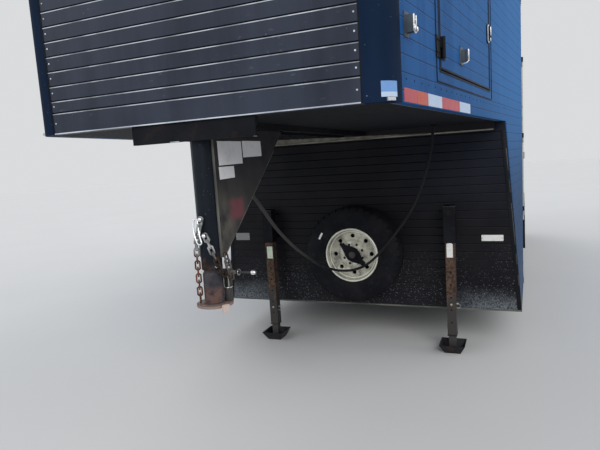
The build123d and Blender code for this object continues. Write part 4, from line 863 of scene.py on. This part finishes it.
# Riser: blank plates, foot angle, slanted edge trims with rivets and broken strips of painted highlight, and
# a painted highlight on the beam's lit lip
p = Piece()
for name, look, y, z, w, h in (("left", "white", 1.066, 0.8835, 0.158, 0.047),
                               ("right", "grey_plate", -1.096, 0.901, 0.14, 0.066)):
    Piece().plate(on_riser(y, z), rounded(w, h, 0.004), 0.0015, 0.0004).done(f"riser_plate_{name}", look)
    for reach in (0.008 - w / 2, w / 2 - 0.008):
        p.screw(on_riser(y + reach, z, 0.0015))
p.done("riser_plate_screws", "zinc")
riser = on_riser(0, 0)
Piece().across(riser, HALF_W - 0.032, SKIRT_Z + 0.006, 0.012, 0.0035).done("riser_foot_angle", "edge")
TOP_Y, FOOT_Y = side_y(0) - 0.017, HALF_W - 0.042


def slant(sign, t, out=0):
    """On the riser's slanted edge, at t from its top to its foot."""
    z = NOSE_Z - 0.062 + (SKIRT_Z + 0.014 - NOSE_Z + 0.062) * t
    return sign * (TOP_Y + (FOOT_Y - TOP_Y) * t + out), z


trims, rivets, worn = Piece(), Piece(), Piece()
for sign in (-1, 1):
    trims.strip(riser, slant(sign, 0), slant(sign, 1), 0.03, 0.003)
    for i in range(18):
        rivets.screw(on_riser(*slant(sign, (i + 0.5) / 18), 0.003), 0.0036)
    # These strips, held in worn, are painted highlight along the trims' outer edges.
    for start, end in ((0.1, 0.22), (0.27, 0.34), (0.4, 0.63), (0.68, 0.74), (0.8, 0.86)):
        worn.strip(riser, slant(sign, start, 0.012), slant(sign, end, 0.012), 0.0035, 0.0008, 0, lift=0.003)
trims.done("riser_edge_trims", "trim")
rivets.done("riser_edge_rivets", "trim")
worn.done("riser_trim_highlights", "edge")
# Beige strip: painted highlight on the beam's lit lower edge.
lip = on_riser(0, NOSE_Z - 0.057, 0.055)
Piece().across(lip, side_y(0) - 0.08, 0.002, 0.01, 0.003).done("header_lip_highlight", "beige")

# Gusset: blank sheets, a bright bracket, and painted highlights along its front and slanted edges; a painted
# highlight on the cross channel's lit lower lip beside it
PLATE_Y = NECK_R + 0.0123


def on_gusset(x, z):
    return facing(at(x, PLATE_Y, z), (0, 1, 0))


SHEETS = (("upper", 2.258, 2.046, 1.676, 1.572), ("rear", 2.036, 1.843, 1.678, 1.602),
          ("lower", 2.26, 2.129, 1.566, 1.512))
SKEW = 0.003
for name, ahead, behind, high, low in SHEETS:
    w, h = (ahead - behind) / 2, (high - low) / 2
    Piece().plate(on_gusset((ahead + behind) / 2, (high + low) / 2),
                  [(w, h), (w + SKEW, SKEW - h), (SKEW - w, -h), (-w, h)], 0.0006).done(
        f"gusset_sheet_{name}", "sheet")
Piece().box(on_gusset(1.912, NOSE_Z - 0.054) @ shift(0, 0, 0.006), (0.034, 0.01, 0.012)).done(
    "gusset_bracket", "chrome")
p = Piece()
p.strip(on_riser(PLATE_Y - 0.006, 0, NECK_X), (0, NOSE_Z - 0.574), (0, NOSE_Z - 0.012), 0.0118, 0.001)
p.strip(on_gusset(0, 0), (-1.69, 1.63), (-2.26, 1.1835), 0.0032, 0.0006, 0)
p.done("gusset_edge_highlights", "edge")
p = Piece()
p.strip(on_riser(0, NOSE_Z - 0.0775, NECK_X + 0.074), (-0.105, 0), (-0.06, 0), 0.003, 0.0015)
p.done("channel_lip", "bare")

# Neck: weld beads, a set screw and bright pin heads over the chains' hooks
BEAD, RIPPLES = 0.004, 34


def beside_neck(angle, r, z):
    t = radians(angle)
    return facing(at(NECK_X + r * cos(t), r * sin(t), z), (cos(t), sin(t), 0))


p = Piece()
for r, z in ((NECK_R, NOSE_Z - 0.002), (0.044, COUPLER_Z + 0.0135)):
    path = []
    for i in range(RIPPLES * 4):
        t, out = 2 * pi * i / (RIPPLES * 4), r + BEAD * 0.18 * sin(pi * i / 2)
        path.append(at(NECK_X + out * cos(t), out * sin(t), z))
    p.sweep(path, BEAD, closed=True)
p.done("neck_welds", "latch")
p = Piece()
for angle, r, z in ((2, 0.0715, 1.3525), (12, 0.072, 1.2825)):
    p.turned(beside_neck(angle, r, z), [(0.0085, 0), (0.0085, 0.0015), (0.006, 0.0035), (0, 0.0042)], 16)
p.bolt(beside_neck(58, NECK_R - 0.001, 1.146), 0.0065, 0.01)
p.done("neck_pin_heads", "chrome")

# Long bright link over the first chain's start, bent a little
lean = facing(at(NECK_X + 0.0715, -0.01, 1.302), (1, 0.02, 0.18), (0, -0.22, 1))
path = []
for t in (2 * pi * (i + 0.5) / 36 for i in range(36)):
    y = 0.012 * sin(t) + 0.043 * max(-1, min(1, 1.6 * sin(t)))
    path.append(lean @ Vector((0.012 * cos(t) - 0.008 * (1 - (y / 0.055) ** 2), y, 0)))
Piece().sweep(path, 0.0034, closed=True).done("first_link", "chrome")

# Loose dark links between the second chain's end and the gusset's tip
LOOSE = ((-0.01, 0.086, 1.088), (0, 0.09, 1.112), (0.004, 0.085, 1.138), (-0.002, 0.076, 1.163),
         (-0.012, 0.066, 1.188))
loose = [at(NECK_X + x, y, z) for x, y, z in LOOSE]
p = Piece()
for i, (a, b) in enumerate(zip(loose, loose[1:])):
    way = (b - a).normalized()
    out = Vector((0.2, 1, 0)) if i % 2 else Vector((1, 0.35, 0))
    m = facing((a + b) / 2, out - way * out.dot(way), way)
    p.ring(m, 0.0105, 0.0042, 20, stretch=(b - a).length - 0.002)
p.done("loose_links", "dark_chain")

# Latch: wire clip, bright rim on the housing, bright knob and spring on the handle, and the keeper's face
LATCH_X, LATCH_Y, HANDLE_Z = NECK_X - 0.03604, 0.05204, 1.108
CLIP = ((-0.012, 1.041), (-0.012, 1.08), (-0.0105, 1.09), (0, 1.0945), (0.0105, 1.09), (0.012, 1.08),
        (0.012, 1.041))
Piece().sweep([at(NECK_X - 0.0195, LATCH_Y + y, z) for y, z in CLIP], 0.0021).done("latch_clip", "zinc")
handle = facing(at(LATCH_X, LATCH_Y, HANDLE_Z), (0, 1, 0))
p = Piece()
p.ring(shift(*at(LATCH_X, LATCH_Y, 1.0405)), 0.0172, 0.0016, sides=6)
p.turned(handle, [(0.0095, 0.1195), (0.0102, 0.1215), (0.0102, 0.1325), (0.0068, 0.1398), (0, 0.14)], 20)
p.ring(handle @ shift(0, 0, 0.058), 0.013, 0.0011, 24, 6)
p.done("latch_bright_parts", "chrome")
TURNS, COUNT = 7, 98
coil = [(2 * pi * TURNS * i / COUNT, 0.0155 + 0.034 * i / COUNT) for i in range(COUNT + 1)]
Piece().sweep([handle @ Vector((0.0072 * cos(t), 0.0072 * sin(t), z)) for t, z in coil], 0.0014, 6).done(
    "latch_spring", "zinc")
keeper = beside_neck(62, 0.0803, COUPLER_Z - 0.002)
Piece().plate(keeper, rounded(0.0312, 0.0332, 0.0055), 0.0146, 0.001).done("keeper_face", "pale_steel")

# Spare wheel: rim with hand holes, rolled edges in a painted highlight, lug recesses as dark discs of painted
# shade, clamp and nut, a small blank tag on the tyre and a white patch of painted highlight on the rim
SPARE = on_riser(0, SPARE_Z, SPARE_X)
p = Piece()
p.turned(SPARE, [(0.18, 0.03), (0.19, 0.035), (0.1958, 0.048), (0.1975, 0.074), (0.206, 0.089),
                 (0.219, 0.092), (0.2205, 0.09), (0.2205, 0.086), (0.2045, 0.078), (0.203, -0.078),
                 (0.2205, -0.086), (0.2205, -0.092), (0.199, -0.088), (0.196, -0.07), (0.1958, 0.016),
                 (0.18, 0.024)], 64)
p.turned(SPARE, [(0.124, 0.024), (0.109, 0.032), (0, 0.032)], 64)
p.turned(SPARE, [(0, 0.04), (0.105, 0.04), (0.11, 0.0385), (0.124, 0.03)], 64)
p.holed_ring(SPARE, 0.124, 0.18, 0.152, 0.0175, 0.024, 0.03)
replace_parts(p.done("spare_rim_dish", "wheel", angle=25), "spare_rim")
# Rolled edges in the lighter wheel paint, as painted highlight.
p = Piece()
p.ring(SPARE @ shift(0, 0, 0.0905), 0.212, 0.006, 96, 10)
p.ring(SPARE @ shift(0, 0, 0.055), 0.192, 0.0055, 96, 10)
p.done("spare_rim_rings", "cream")
# Dark discs in the lug holes: painted shade.
p = Piece()
for t in (radians(45 * i + 22.5) for i in range(8)):
    m = SPARE @ shift(0.0825 * cos(t), 0.0825 * sin(t), 0.0395)
    p.turned(m, [(0, 0.001), (0.0105, 0.001), (0.0112, 0)], 20)
p.done("spare_lug_recess_shade", "rubber")
clamp = SPARE @ Matrix.Rotation(radians(-42), 4, "Z")
WAIST = [(0.134, 0.011), (0.1, 0.018), (0.066, 0.034), (0.04, 0.05)]
half = [(0.138, 0), *WAIST, (0, 0.06), *((-x, y) for x, y in WAIST[::-1]), (-0.138, 0)]
p = Piece()
p.plate(clamp @ shift(0, 0, 0.057), half + [(x, -y) for x, y in half[-2:0:-1]], 0.0075, 0.0015)
p.across(clamp, 0.122, 0, 0.034, 0.0155, 0.002, lift=0.0415)
p.turned(clamp, [(0, 0.064), (0.05, 0.064), (0.048, 0.069), (0.03, 0.074), (0.026, 0.08), (0, 0.08)], 28)
p.rod(at(0, 0, SPARE_Z), SPARE @ Vector((0, 0, 0.07)), 0.022, 24)
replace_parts(p.done("spare_clamp", "frame"), "spare_carrier")
Piece().bolt(SPARE @ shift(0, 0, 0.079), 0.019, 0.012).done("spare_clamp_nut", "latch")
Piece().strip(on_riser(-0.246, 0.94, SPARE_X + 0.1172), (-0.014, -0.025), (0.014, 0.025), 0.016, 0.0012).done(
    "spare_tyre_tag", "white")
# White patch: painted highlight where the rim is lit between the shadows of the clamp and the cable.
Piece().plate(SPARE @ shift(0.012, -0.07, 0.04), rounded(0.038, 0.032, 0.004), 0.0012).done(
    "spare_rim_lit_patch", "white")
valve = [SPARE @ Vector(v) for v in ((-0.125, -0.135, 0.036), (-0.131, -0.146, 0.064))]
Piece().rod(*valve, 0.0045, 12).done("spare_valve", "rubber")

# Tyres: ribs, grooves and shoulder sipes. Half profile, columns: offset across, radius, kind of cut
TREAD = ((0, 0.391, 1), (0.0135, 0.391, 1), (0.0148, 0.3825, 0), (0.021, 0.3825, 0), (0.0223, 0.391, 1),
         (0.0465, 0.391, 1), (0.0478, 0.3825, 0), (0.054, 0.3825, 0), (0.0553, 0.391, 2), (0.078, 0.3905, 2),
         (0.088, 0.385, 2), (0.0985, 0.3745, 2), (0.106, 0.361, 0), (0.112, 0.348, 0), (0.115, 0.337, 0),
         (0.114, 0.3345, 0), (0.115, 0.332, 0), (0.1172, 0.318, 0), (0.1168, 0.3, 0), (0.113, 0.275, 0),
         (0.1075, 0.252, 0), (0.105, 0.244, 0), (0.106, 0.24, 0), (0.1045, 0.234, 0), (0.099, 0.2265, 0),
         (0.09, 0.2225, 0), (0.0862, 0.218, 0), (0.0857, 0.2036, 0))
PITCHES = 40
CUT_DEPTH = {1: 0.003, 2: 0.0065}


def tyre(name, m, body):
    profile = [(-w, r, cut) for w, r, cut in TREAD[:0:-1]] + list(TREAD)
    p, columns = Piece(), []
    for pitch in range(PITCHES):
        for part, cut in ((0, 0), (0.3, 0), (0.34, 1), (0.46, 1), (0.5, 0), (0.8, 0), (0.84, 2), (0.96, 2)):
            t = 2 * pi * (pitch + part) / PITCHES
            cut_r = [(w, r - CUT_DEPTH[cut] if cut and kind == cut else r) for w, r, kind in profile]
            columns.append(p.row([(r * cos(t), r * sin(t), w) for w, r in cut_r], m))
    for a, b in zip(columns, columns[1:] + columns[:1]):
        p.bridge(a, b)
    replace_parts(p.done(f"tread_{name}", "tyre", body, angle=32), name)


tyre("spare_tyre", SPARE, "trailer")

# Road wheels: vents as dark discs of painted shade, nuts, hub cap, rolled edge and valve
for place, back in zip(("front", "rear"), AXLES):
    for side, sign in SIDES:
        body, tag = f"wheel_{place}_{side}", f"{place}_{side}"
        hub = facing(at(-back, sign * WHEEL_Y, TYRE_R), (0, sign, 0))
        tyre(f"tyre_{tag}", hub, body)
        vents, nuts, rims = Piece(), Piece(), Piece()
        for i in range(8):
            t = radians(45 * i)
            spoke = hub @ shift(0.156 * cos(t), 0.156 * sin(t), 0.0098)
            vents.turned(spoke, [(0, 0.0008), (0.017, 0.0008), (0.018, 0)], 20)
            rims.ring(spoke @ shift(0, 0, 0.0004), 0.0185, 0.0018, 20, 6)
            t += radians(22.5)
            nuts.bolt(hub @ shift(0.0835 * cos(t), 0.0835 * sin(t), -0.0005), 0.0105, 0.022)
        rims.ring(hub @ shift(0, 0, 0.0905), 0.215, 0.0055, 96, 10)
        nuts.turned(hub, [(0.064, -0.001), (0.064, 0.004), (0.0625, 0.006), (0.0622, 0.006)], 36)
        nuts.turned(hub, [(0.0405, 0.0495), (0.0405, 0.054), (0.036, 0.06), (0.022, 0.0635), (0, 0.064)], 32)
        vents.done(f"wheel_vent_shade_{tag}", "rubber", body)
        nuts.done(f"wheel_nuts_{tag}", "zinc", body)
        rims.rod(hub @ Vector((0.128, 0.128, 0.01)), hub @ Vector((0.133, 0.133, 0.045)), 0.0045, 10)
        rims.done(f"wheel_edges_{tag}", "wheel", body)

# Legs: blank labels with rounded upper corners, adjusting holes as dark discs of painted shade, cross pins
# and worn collars
LEG_FACE = LEG_X + LEG_OUTER / 2
for name, look, y, z, w, h, r in (("left", "white", LEG_Y - 0.002, 0.812, 0.046, 0.112, 0.014),
                                  ("right", "pale_green", -LEG_Y + 0.004, 0.782, 0.052, 0.106, 0.004)):
    outline = [(-w / 2, -h / 2), (w / 2, -h / 2)] + [v for v in rounded(w, h, r, 5) if v[1] > 0]
    Piece().plate(on_riser(y, z, LEG_FACE), outline, 0.001).done(f"leg_label_{name}", look)
holes, pins, collars = Piece(), Piece(), Piece()
for y, level in ((LEG_Y, 0.385), (-LEG_Y, 0.29)):
    for i in range(5):
        holes.turned(on_riser(y, 0.64 - 0.1 * i, LEG_FACE), [(0, 0.0005), (0.007, 0.0005), (0.0078, 0)], 16)
    end = y + LEG_OUTER / 2
    pins.rod(at(LEG_X, end - 0.006, level), at(LEG_X, end + 0.016, level), 0.0075, 16, 0.0015)
    pins.ring(facing(at(LEG_X, end + 0.012, level - 0.02), (1, 0.3, 0)), 0.016, 0.0018, 24, 6)
    pins.rod(at(LEG_FACE - 0.004, y, level), at(LEG_FACE + 0.007, y, level), 0.0085, 16, 0.0015)
    for z, size, tall in ((0.1365, LEG_OUTER + 0.003, 0.013), (1.15, SLEEVE + 0.003, 0.01)):
        collars.box(shift(*at(LEG_X, y, z)), (size, size, tall))
holes.done("leg_hole_shade", "rubber")
pins.done("leg_pins", "zinc")
collars.done("leg_collars", "rust")

# Edge trims with rivets, under the roof and along the foot of the straight walls, and the wall joints' rivets
RIM_Z = ROOF_Z - 0.027


def trim_run(trims, rivets, m, long, width, step, start, up, r):
    trims.strip(m, (0, 0), (long, 0), width, 0.003)
    for i in range(int(long / step)):
        rivets.screw(m @ shift(start + step * i, up, 0.003), r)


trims, rivets, foot_trims, foot_rivets = Piece(), Piece(), Piece(), Piece()
for sign in (1, -1):
    taper = on_taper(CORNER_X if sign > 0 else -TAPER_END, RIM_Z, sign)
    trim_run(trims, rivets, taper, (CORNER_X + TAPER_END) / TAPER_COS, 0.05, 0.15, 0.07, -0.012, 0.0038)
    wall = on_wall(-TAPER_END if sign > 0 else -BOX_LEN, RIM_Z, sign)
    trim_run(trims, rivets, wall, BOX_LEN - TAPER_END, 0.05, 0.15, 0.07, -0.012, 0.0038)
    for ahead, behind in ((-TAPER_END, -2.69), (-4.8, -BOX_LEN + 0.001)):
        m = on_wall(ahead if sign > 0 else behind, SKIRT_Z + 0.02, sign)
        trim_run(foot_trims, foot_rivets, m, ahead - behind, 0.04, 0.2, 0.1, 0.006, 0.004)
    for x in (-TAPER_END - 0.02, -5.955):
        for i in range(24):
            foot_rivets.screw(on_wall(x, 0.4 + 0.1 * i, sign), 0.0034)
trims.done("roof_edge_trims", "trim")
rivets.done("roof_rivets", "edge")
foot_trims.done("skirt_trims", "trim")
foot_rivets.done("skirt_rivets", "trim")

# Side door: edging, hinge screws, a lock hasp and the bar's keepers
SIDE_W, SIDE_H = ENTRY_FRONT - ENTRY_REAR, ENTRY_HIGH - ENTRY_LOW
entry = on_wall((ENTRY_FRONT + ENTRY_REAR) / 2, (ENTRY_LOW + ENTRY_HIGH) / 2)
Piece().border(entry, SIDE_W - 0.012, SIDE_H - 0.012, 0.014, 0.002).done(
    "side_door_edging", "trim", "side_door_leaf")
Piece().border(entry, SIDE_W + 0.03, SIDE_H + 0.03, 0.014, 0.003).done("side_door_frame", "trim")
for body, part, way, reaches in (("trailer", "frame", 1, (0.034, 0.064)),
                                 ("side_door_leaf", "leaf", -1, (0.036, 0.066, 0.094))):
    hinge_screws(f"side_hinge_screws_{part}", body,
                 lambda reach, z: on_wall(ENTRY_FRONT - 0.003 + way * reach, z) @ shift(0, 0, HINGE_T),
                 reaches, (0.85, 1.6, 2.35), r=0.005)
bar_x = ENTRY_REAR + 0.09
p = Piece()
for z in (ENTRY_LOW + 0.08, 1.5, ENTRY_HIGH - 0.08):
    for up in (-0.028, 0.028):
        p.across(on_wall(bar_x, z + up), 0.02, 0, 0.014, 0.004)
        p.bolt(on_wall(bar_x, z + up) @ shift(0, 0, 0.004), 0.0045, 0.004)
p.ring(on_wall(bar_x + 0.245, 1.46) @ shift(0, -0.024, 0.03), 0.011, 0.0028, 24, stretch=0.012)
p.done("side_door_bar_bolts", "zinc", "side_door_leaf")

# Rear doors: seals, hinge screws, bar collars and hasps
LEAF_LOW, LEAF_HIGH = DECK_Z - 0.06, ROOF_Z - ROOF_T - 0.03
LEAF_W = HALF_W - 0.009
for side, sign in SIDES:
    body = f"rear_leaf_{side}"
    m = on_rear(sign * (0.004 + LEAF_W / 2), (LEAF_LOW + LEAF_HIGH) / 2)
    Piece().border(m, LEAF_W, LEAF_HIGH - LEAF_LOW, 0.02, 0.003).done(f"rear_seal_{side}", "rubber", body)
    hinge_screws(f"rear_hinge_screws_{side}", body,
                 lambda reach, z: on_rear(sign * (HALF_W + 0.016 - reach), z, 0.056),
                 (0.045, 0.075, 0.105), (0.8, 1.65, 2.55), (0.023,))
    p = Piece()
    for z in (LEAF_LOW + 0.06, 1.35, LEAF_HIGH - 0.06):
        for up in (-0.034, 0.034):
            p.turned(shift(*at(-BOX_LEN - 0.076, sign * 0.3, z + up - 0.006)),
                     [(0.014, 0), (0.0185, 0.001), (0.0185, 0.011), (0.014, 0.012)])
        for beside in (-0.017, 0.017):
            p.bolt(on_rear(sign * 0.3 + beside, z - 0.015, 0.076), 0.0048, 0.004)
    p.ring(on_rear(sign * 0.605, 1.2, 0.0985) @ shift(0, -0.03, -0.004), 0.011, 0.0028, 24, stretch=0.012)
    p.done(f"rear_bar_collars_{side}", "zinc", body)

# Bezels of the tail lamps, the three lamps over the doors and the markers on the nose
p = Piece()
for sign in (1, -1):
    p.border(on_rear(sign * (HALF_W - 0.27), 0.56, 0), 0.266, 0.076, 0.01, 0.012, 0.002)
for y in (-0.15, 0, 0.15):
    p.border(on_rear(y, LEAF_HIGH + 0.015, 0), 0.074, 0.026, 0.006, 0.006, 0.001)
p.done("tail_lamp_bezels", "trim")
p = Piece()
for sign in (1, -1):
    p.border(on_taper(NOSE_LEN - 0.23, WALL_HIGH - 0.045, sign), 0.074, 0.032, 0.006, 0.006, 0.001)
p.done("marker_bezels", "trim")

# Running gear: U-bolts with plates and nuts, spring bolts
BEND = 0.0455
bolts, plates = Piece(), Piece()
for back in AXLES:
    for rail in (RAIL_Y, -RAIL_Y):
        plates.box(shift(*at(-back, rail, 0.3115)), (0.126, 0.066, 0.009), 0.001)
        for y in (rail - 0.027, rail + 0.027):
            top = [at(-back + BEND * cos(pi * i / 14), y, TYRE_R + BEND * sin(pi * i / 14))
                   for i in range(15)]
            bolts.sweep([at(-back + BEND, y, 0.296), *top, at(-back - BEND, y, 0.296)], 0.005)
            for dx in (-BEND, BEND):
                bolts.bolt(facing(at(-back + dx, y, 0.307), (0, 0, -1), (1, 0, 0)), 0.0085, 0.009)
bolts.done("u_bolts", "latch")
plates.done("u_bolt_plates", "frame")
p = Piece()
middle = (AXLES[0] + AXLES[1]) / 2
for back in (AXLES[0] - 0.357, middle - 0.09, middle + 0.09, AXLES[1] + 0.357):
    for y in (RAIL_Y, -RAIL_Y):
        for way in (-1, 1):
            p.bolt(facing(at(-back, y + way * 0.0308, 0.371), (0, way, 0)), 0.0095, 0.009)
        p.rod(at(-back, y - 0.0225, 0.371), at(-back, y + 0.0225, 0.371), 0.009, 14)
p.done("spring_bolts", "latch")

# Under the nose: bolts along both beams
p = Piece()
for y in (-0.091, 0.091):
    for i in range(7):
        p.bolt(facing(at(0.3 + 0.27 * i, y, NOSE_Z - 0.03), (0, 0, -1), (1, 0, 0)), 0.0065, 0.006)
p.done("beam_bolts", "frame")

# Stage, light and camera
bpy.ops.mesh.primitive_plane_add(size=90, location=(0, 0, 0))
floor = bpy.context.object
floor.name = "floor"
pale = Look("floor_pale", 0.85, 0, 0, 0.2)
pale.fill(pale.shader, Base_Color=pale.mix(pale.noise(0.6, 2), (0.6, 0.6, 0.6), (0.64, 0.64, 0.64)))
floor.data.materials.append(pale.mat)

world = bpy.data.worlds.new("studio")
scene.world = world
sky = Nodes(world)
lit = sky.fill(sky.tree.nodes["Background"], Color=(0.9, 0.95, 1), Strength=0.55)
seen = sky.fill(sky.node("Background"), Color=(0.7, 0.71, 0.72), Strength=1)
path = sky.node("LightPath").outputs
rays = sky.either(*(path[f"Is {kind} Ray"] for kind in ("Camera", "Glossy", "Transmission")))
pick = sky.node("MixShader", rays, lit.outputs[0], seen.outputs[0])
sky.put(sky.tree.nodes["World Output"].inputs[0], pick.outputs[0])


def lamp(name, source, power, spread, tone=(1, 1, 1)):
    """Even light from the direction of source, its edges soft by spread degrees."""
    data = bpy.data.lights.new(name, "SUN")
    data.energy, data.angle, data.color = power, radians(spread), tone
    add(name, data).matrix_world = (-Vector(source)).to_track_quat("-Z", "Y").to_matrix().to_4x4()


lamp("key", (0.8, 0.42, 0.5), 1.5, 35, (1, 0.98, 0.96))
lamp("fill", (0.7, -0.6, 0.4), 0.5, 50, (0.92, 0.96, 1))
lamp("back", (-0.7, -0.45, 0.6), 0.8, 45)
lamp("left", (-0.3, 0.8, 0.55), 0.7, 50)

# Camera: heading, tilt and roll read from the photograph's straight edges
TILT, ROLL, HEADING, FOCAL_PX, PICTURE_PX = 0.1264, -0.0643, 0.3923, 522, 600
look = Vector((-cos(HEADING) * cos(TILT), -sin(HEADING) * cos(TILT), -sin(TILT)))
level = look.cross(Vector((0, 0, 1))).normalized()
over = level.cross(look)
right = cos(ROLL) * level + sin(ROLL) * over
up = -sin(ROLL) * level + cos(ROLL) * over
lens_data = bpy.data.cameras.new("camera")
lens_data.sensor_width = 36
lens_data.lens = FOCAL_PX / PICTURE_PX * lens_data.sensor_width
lens_data.clip_end = 200
camera = add("camera", lens_data)
camera.matrix_world = shift(*at(4.2052, 1.2201, 1.58)) @ Matrix((right, up, -look)).transposed().to_4x4()
scene.camera = camera
scene.view_settings.view_transform = "Standard"
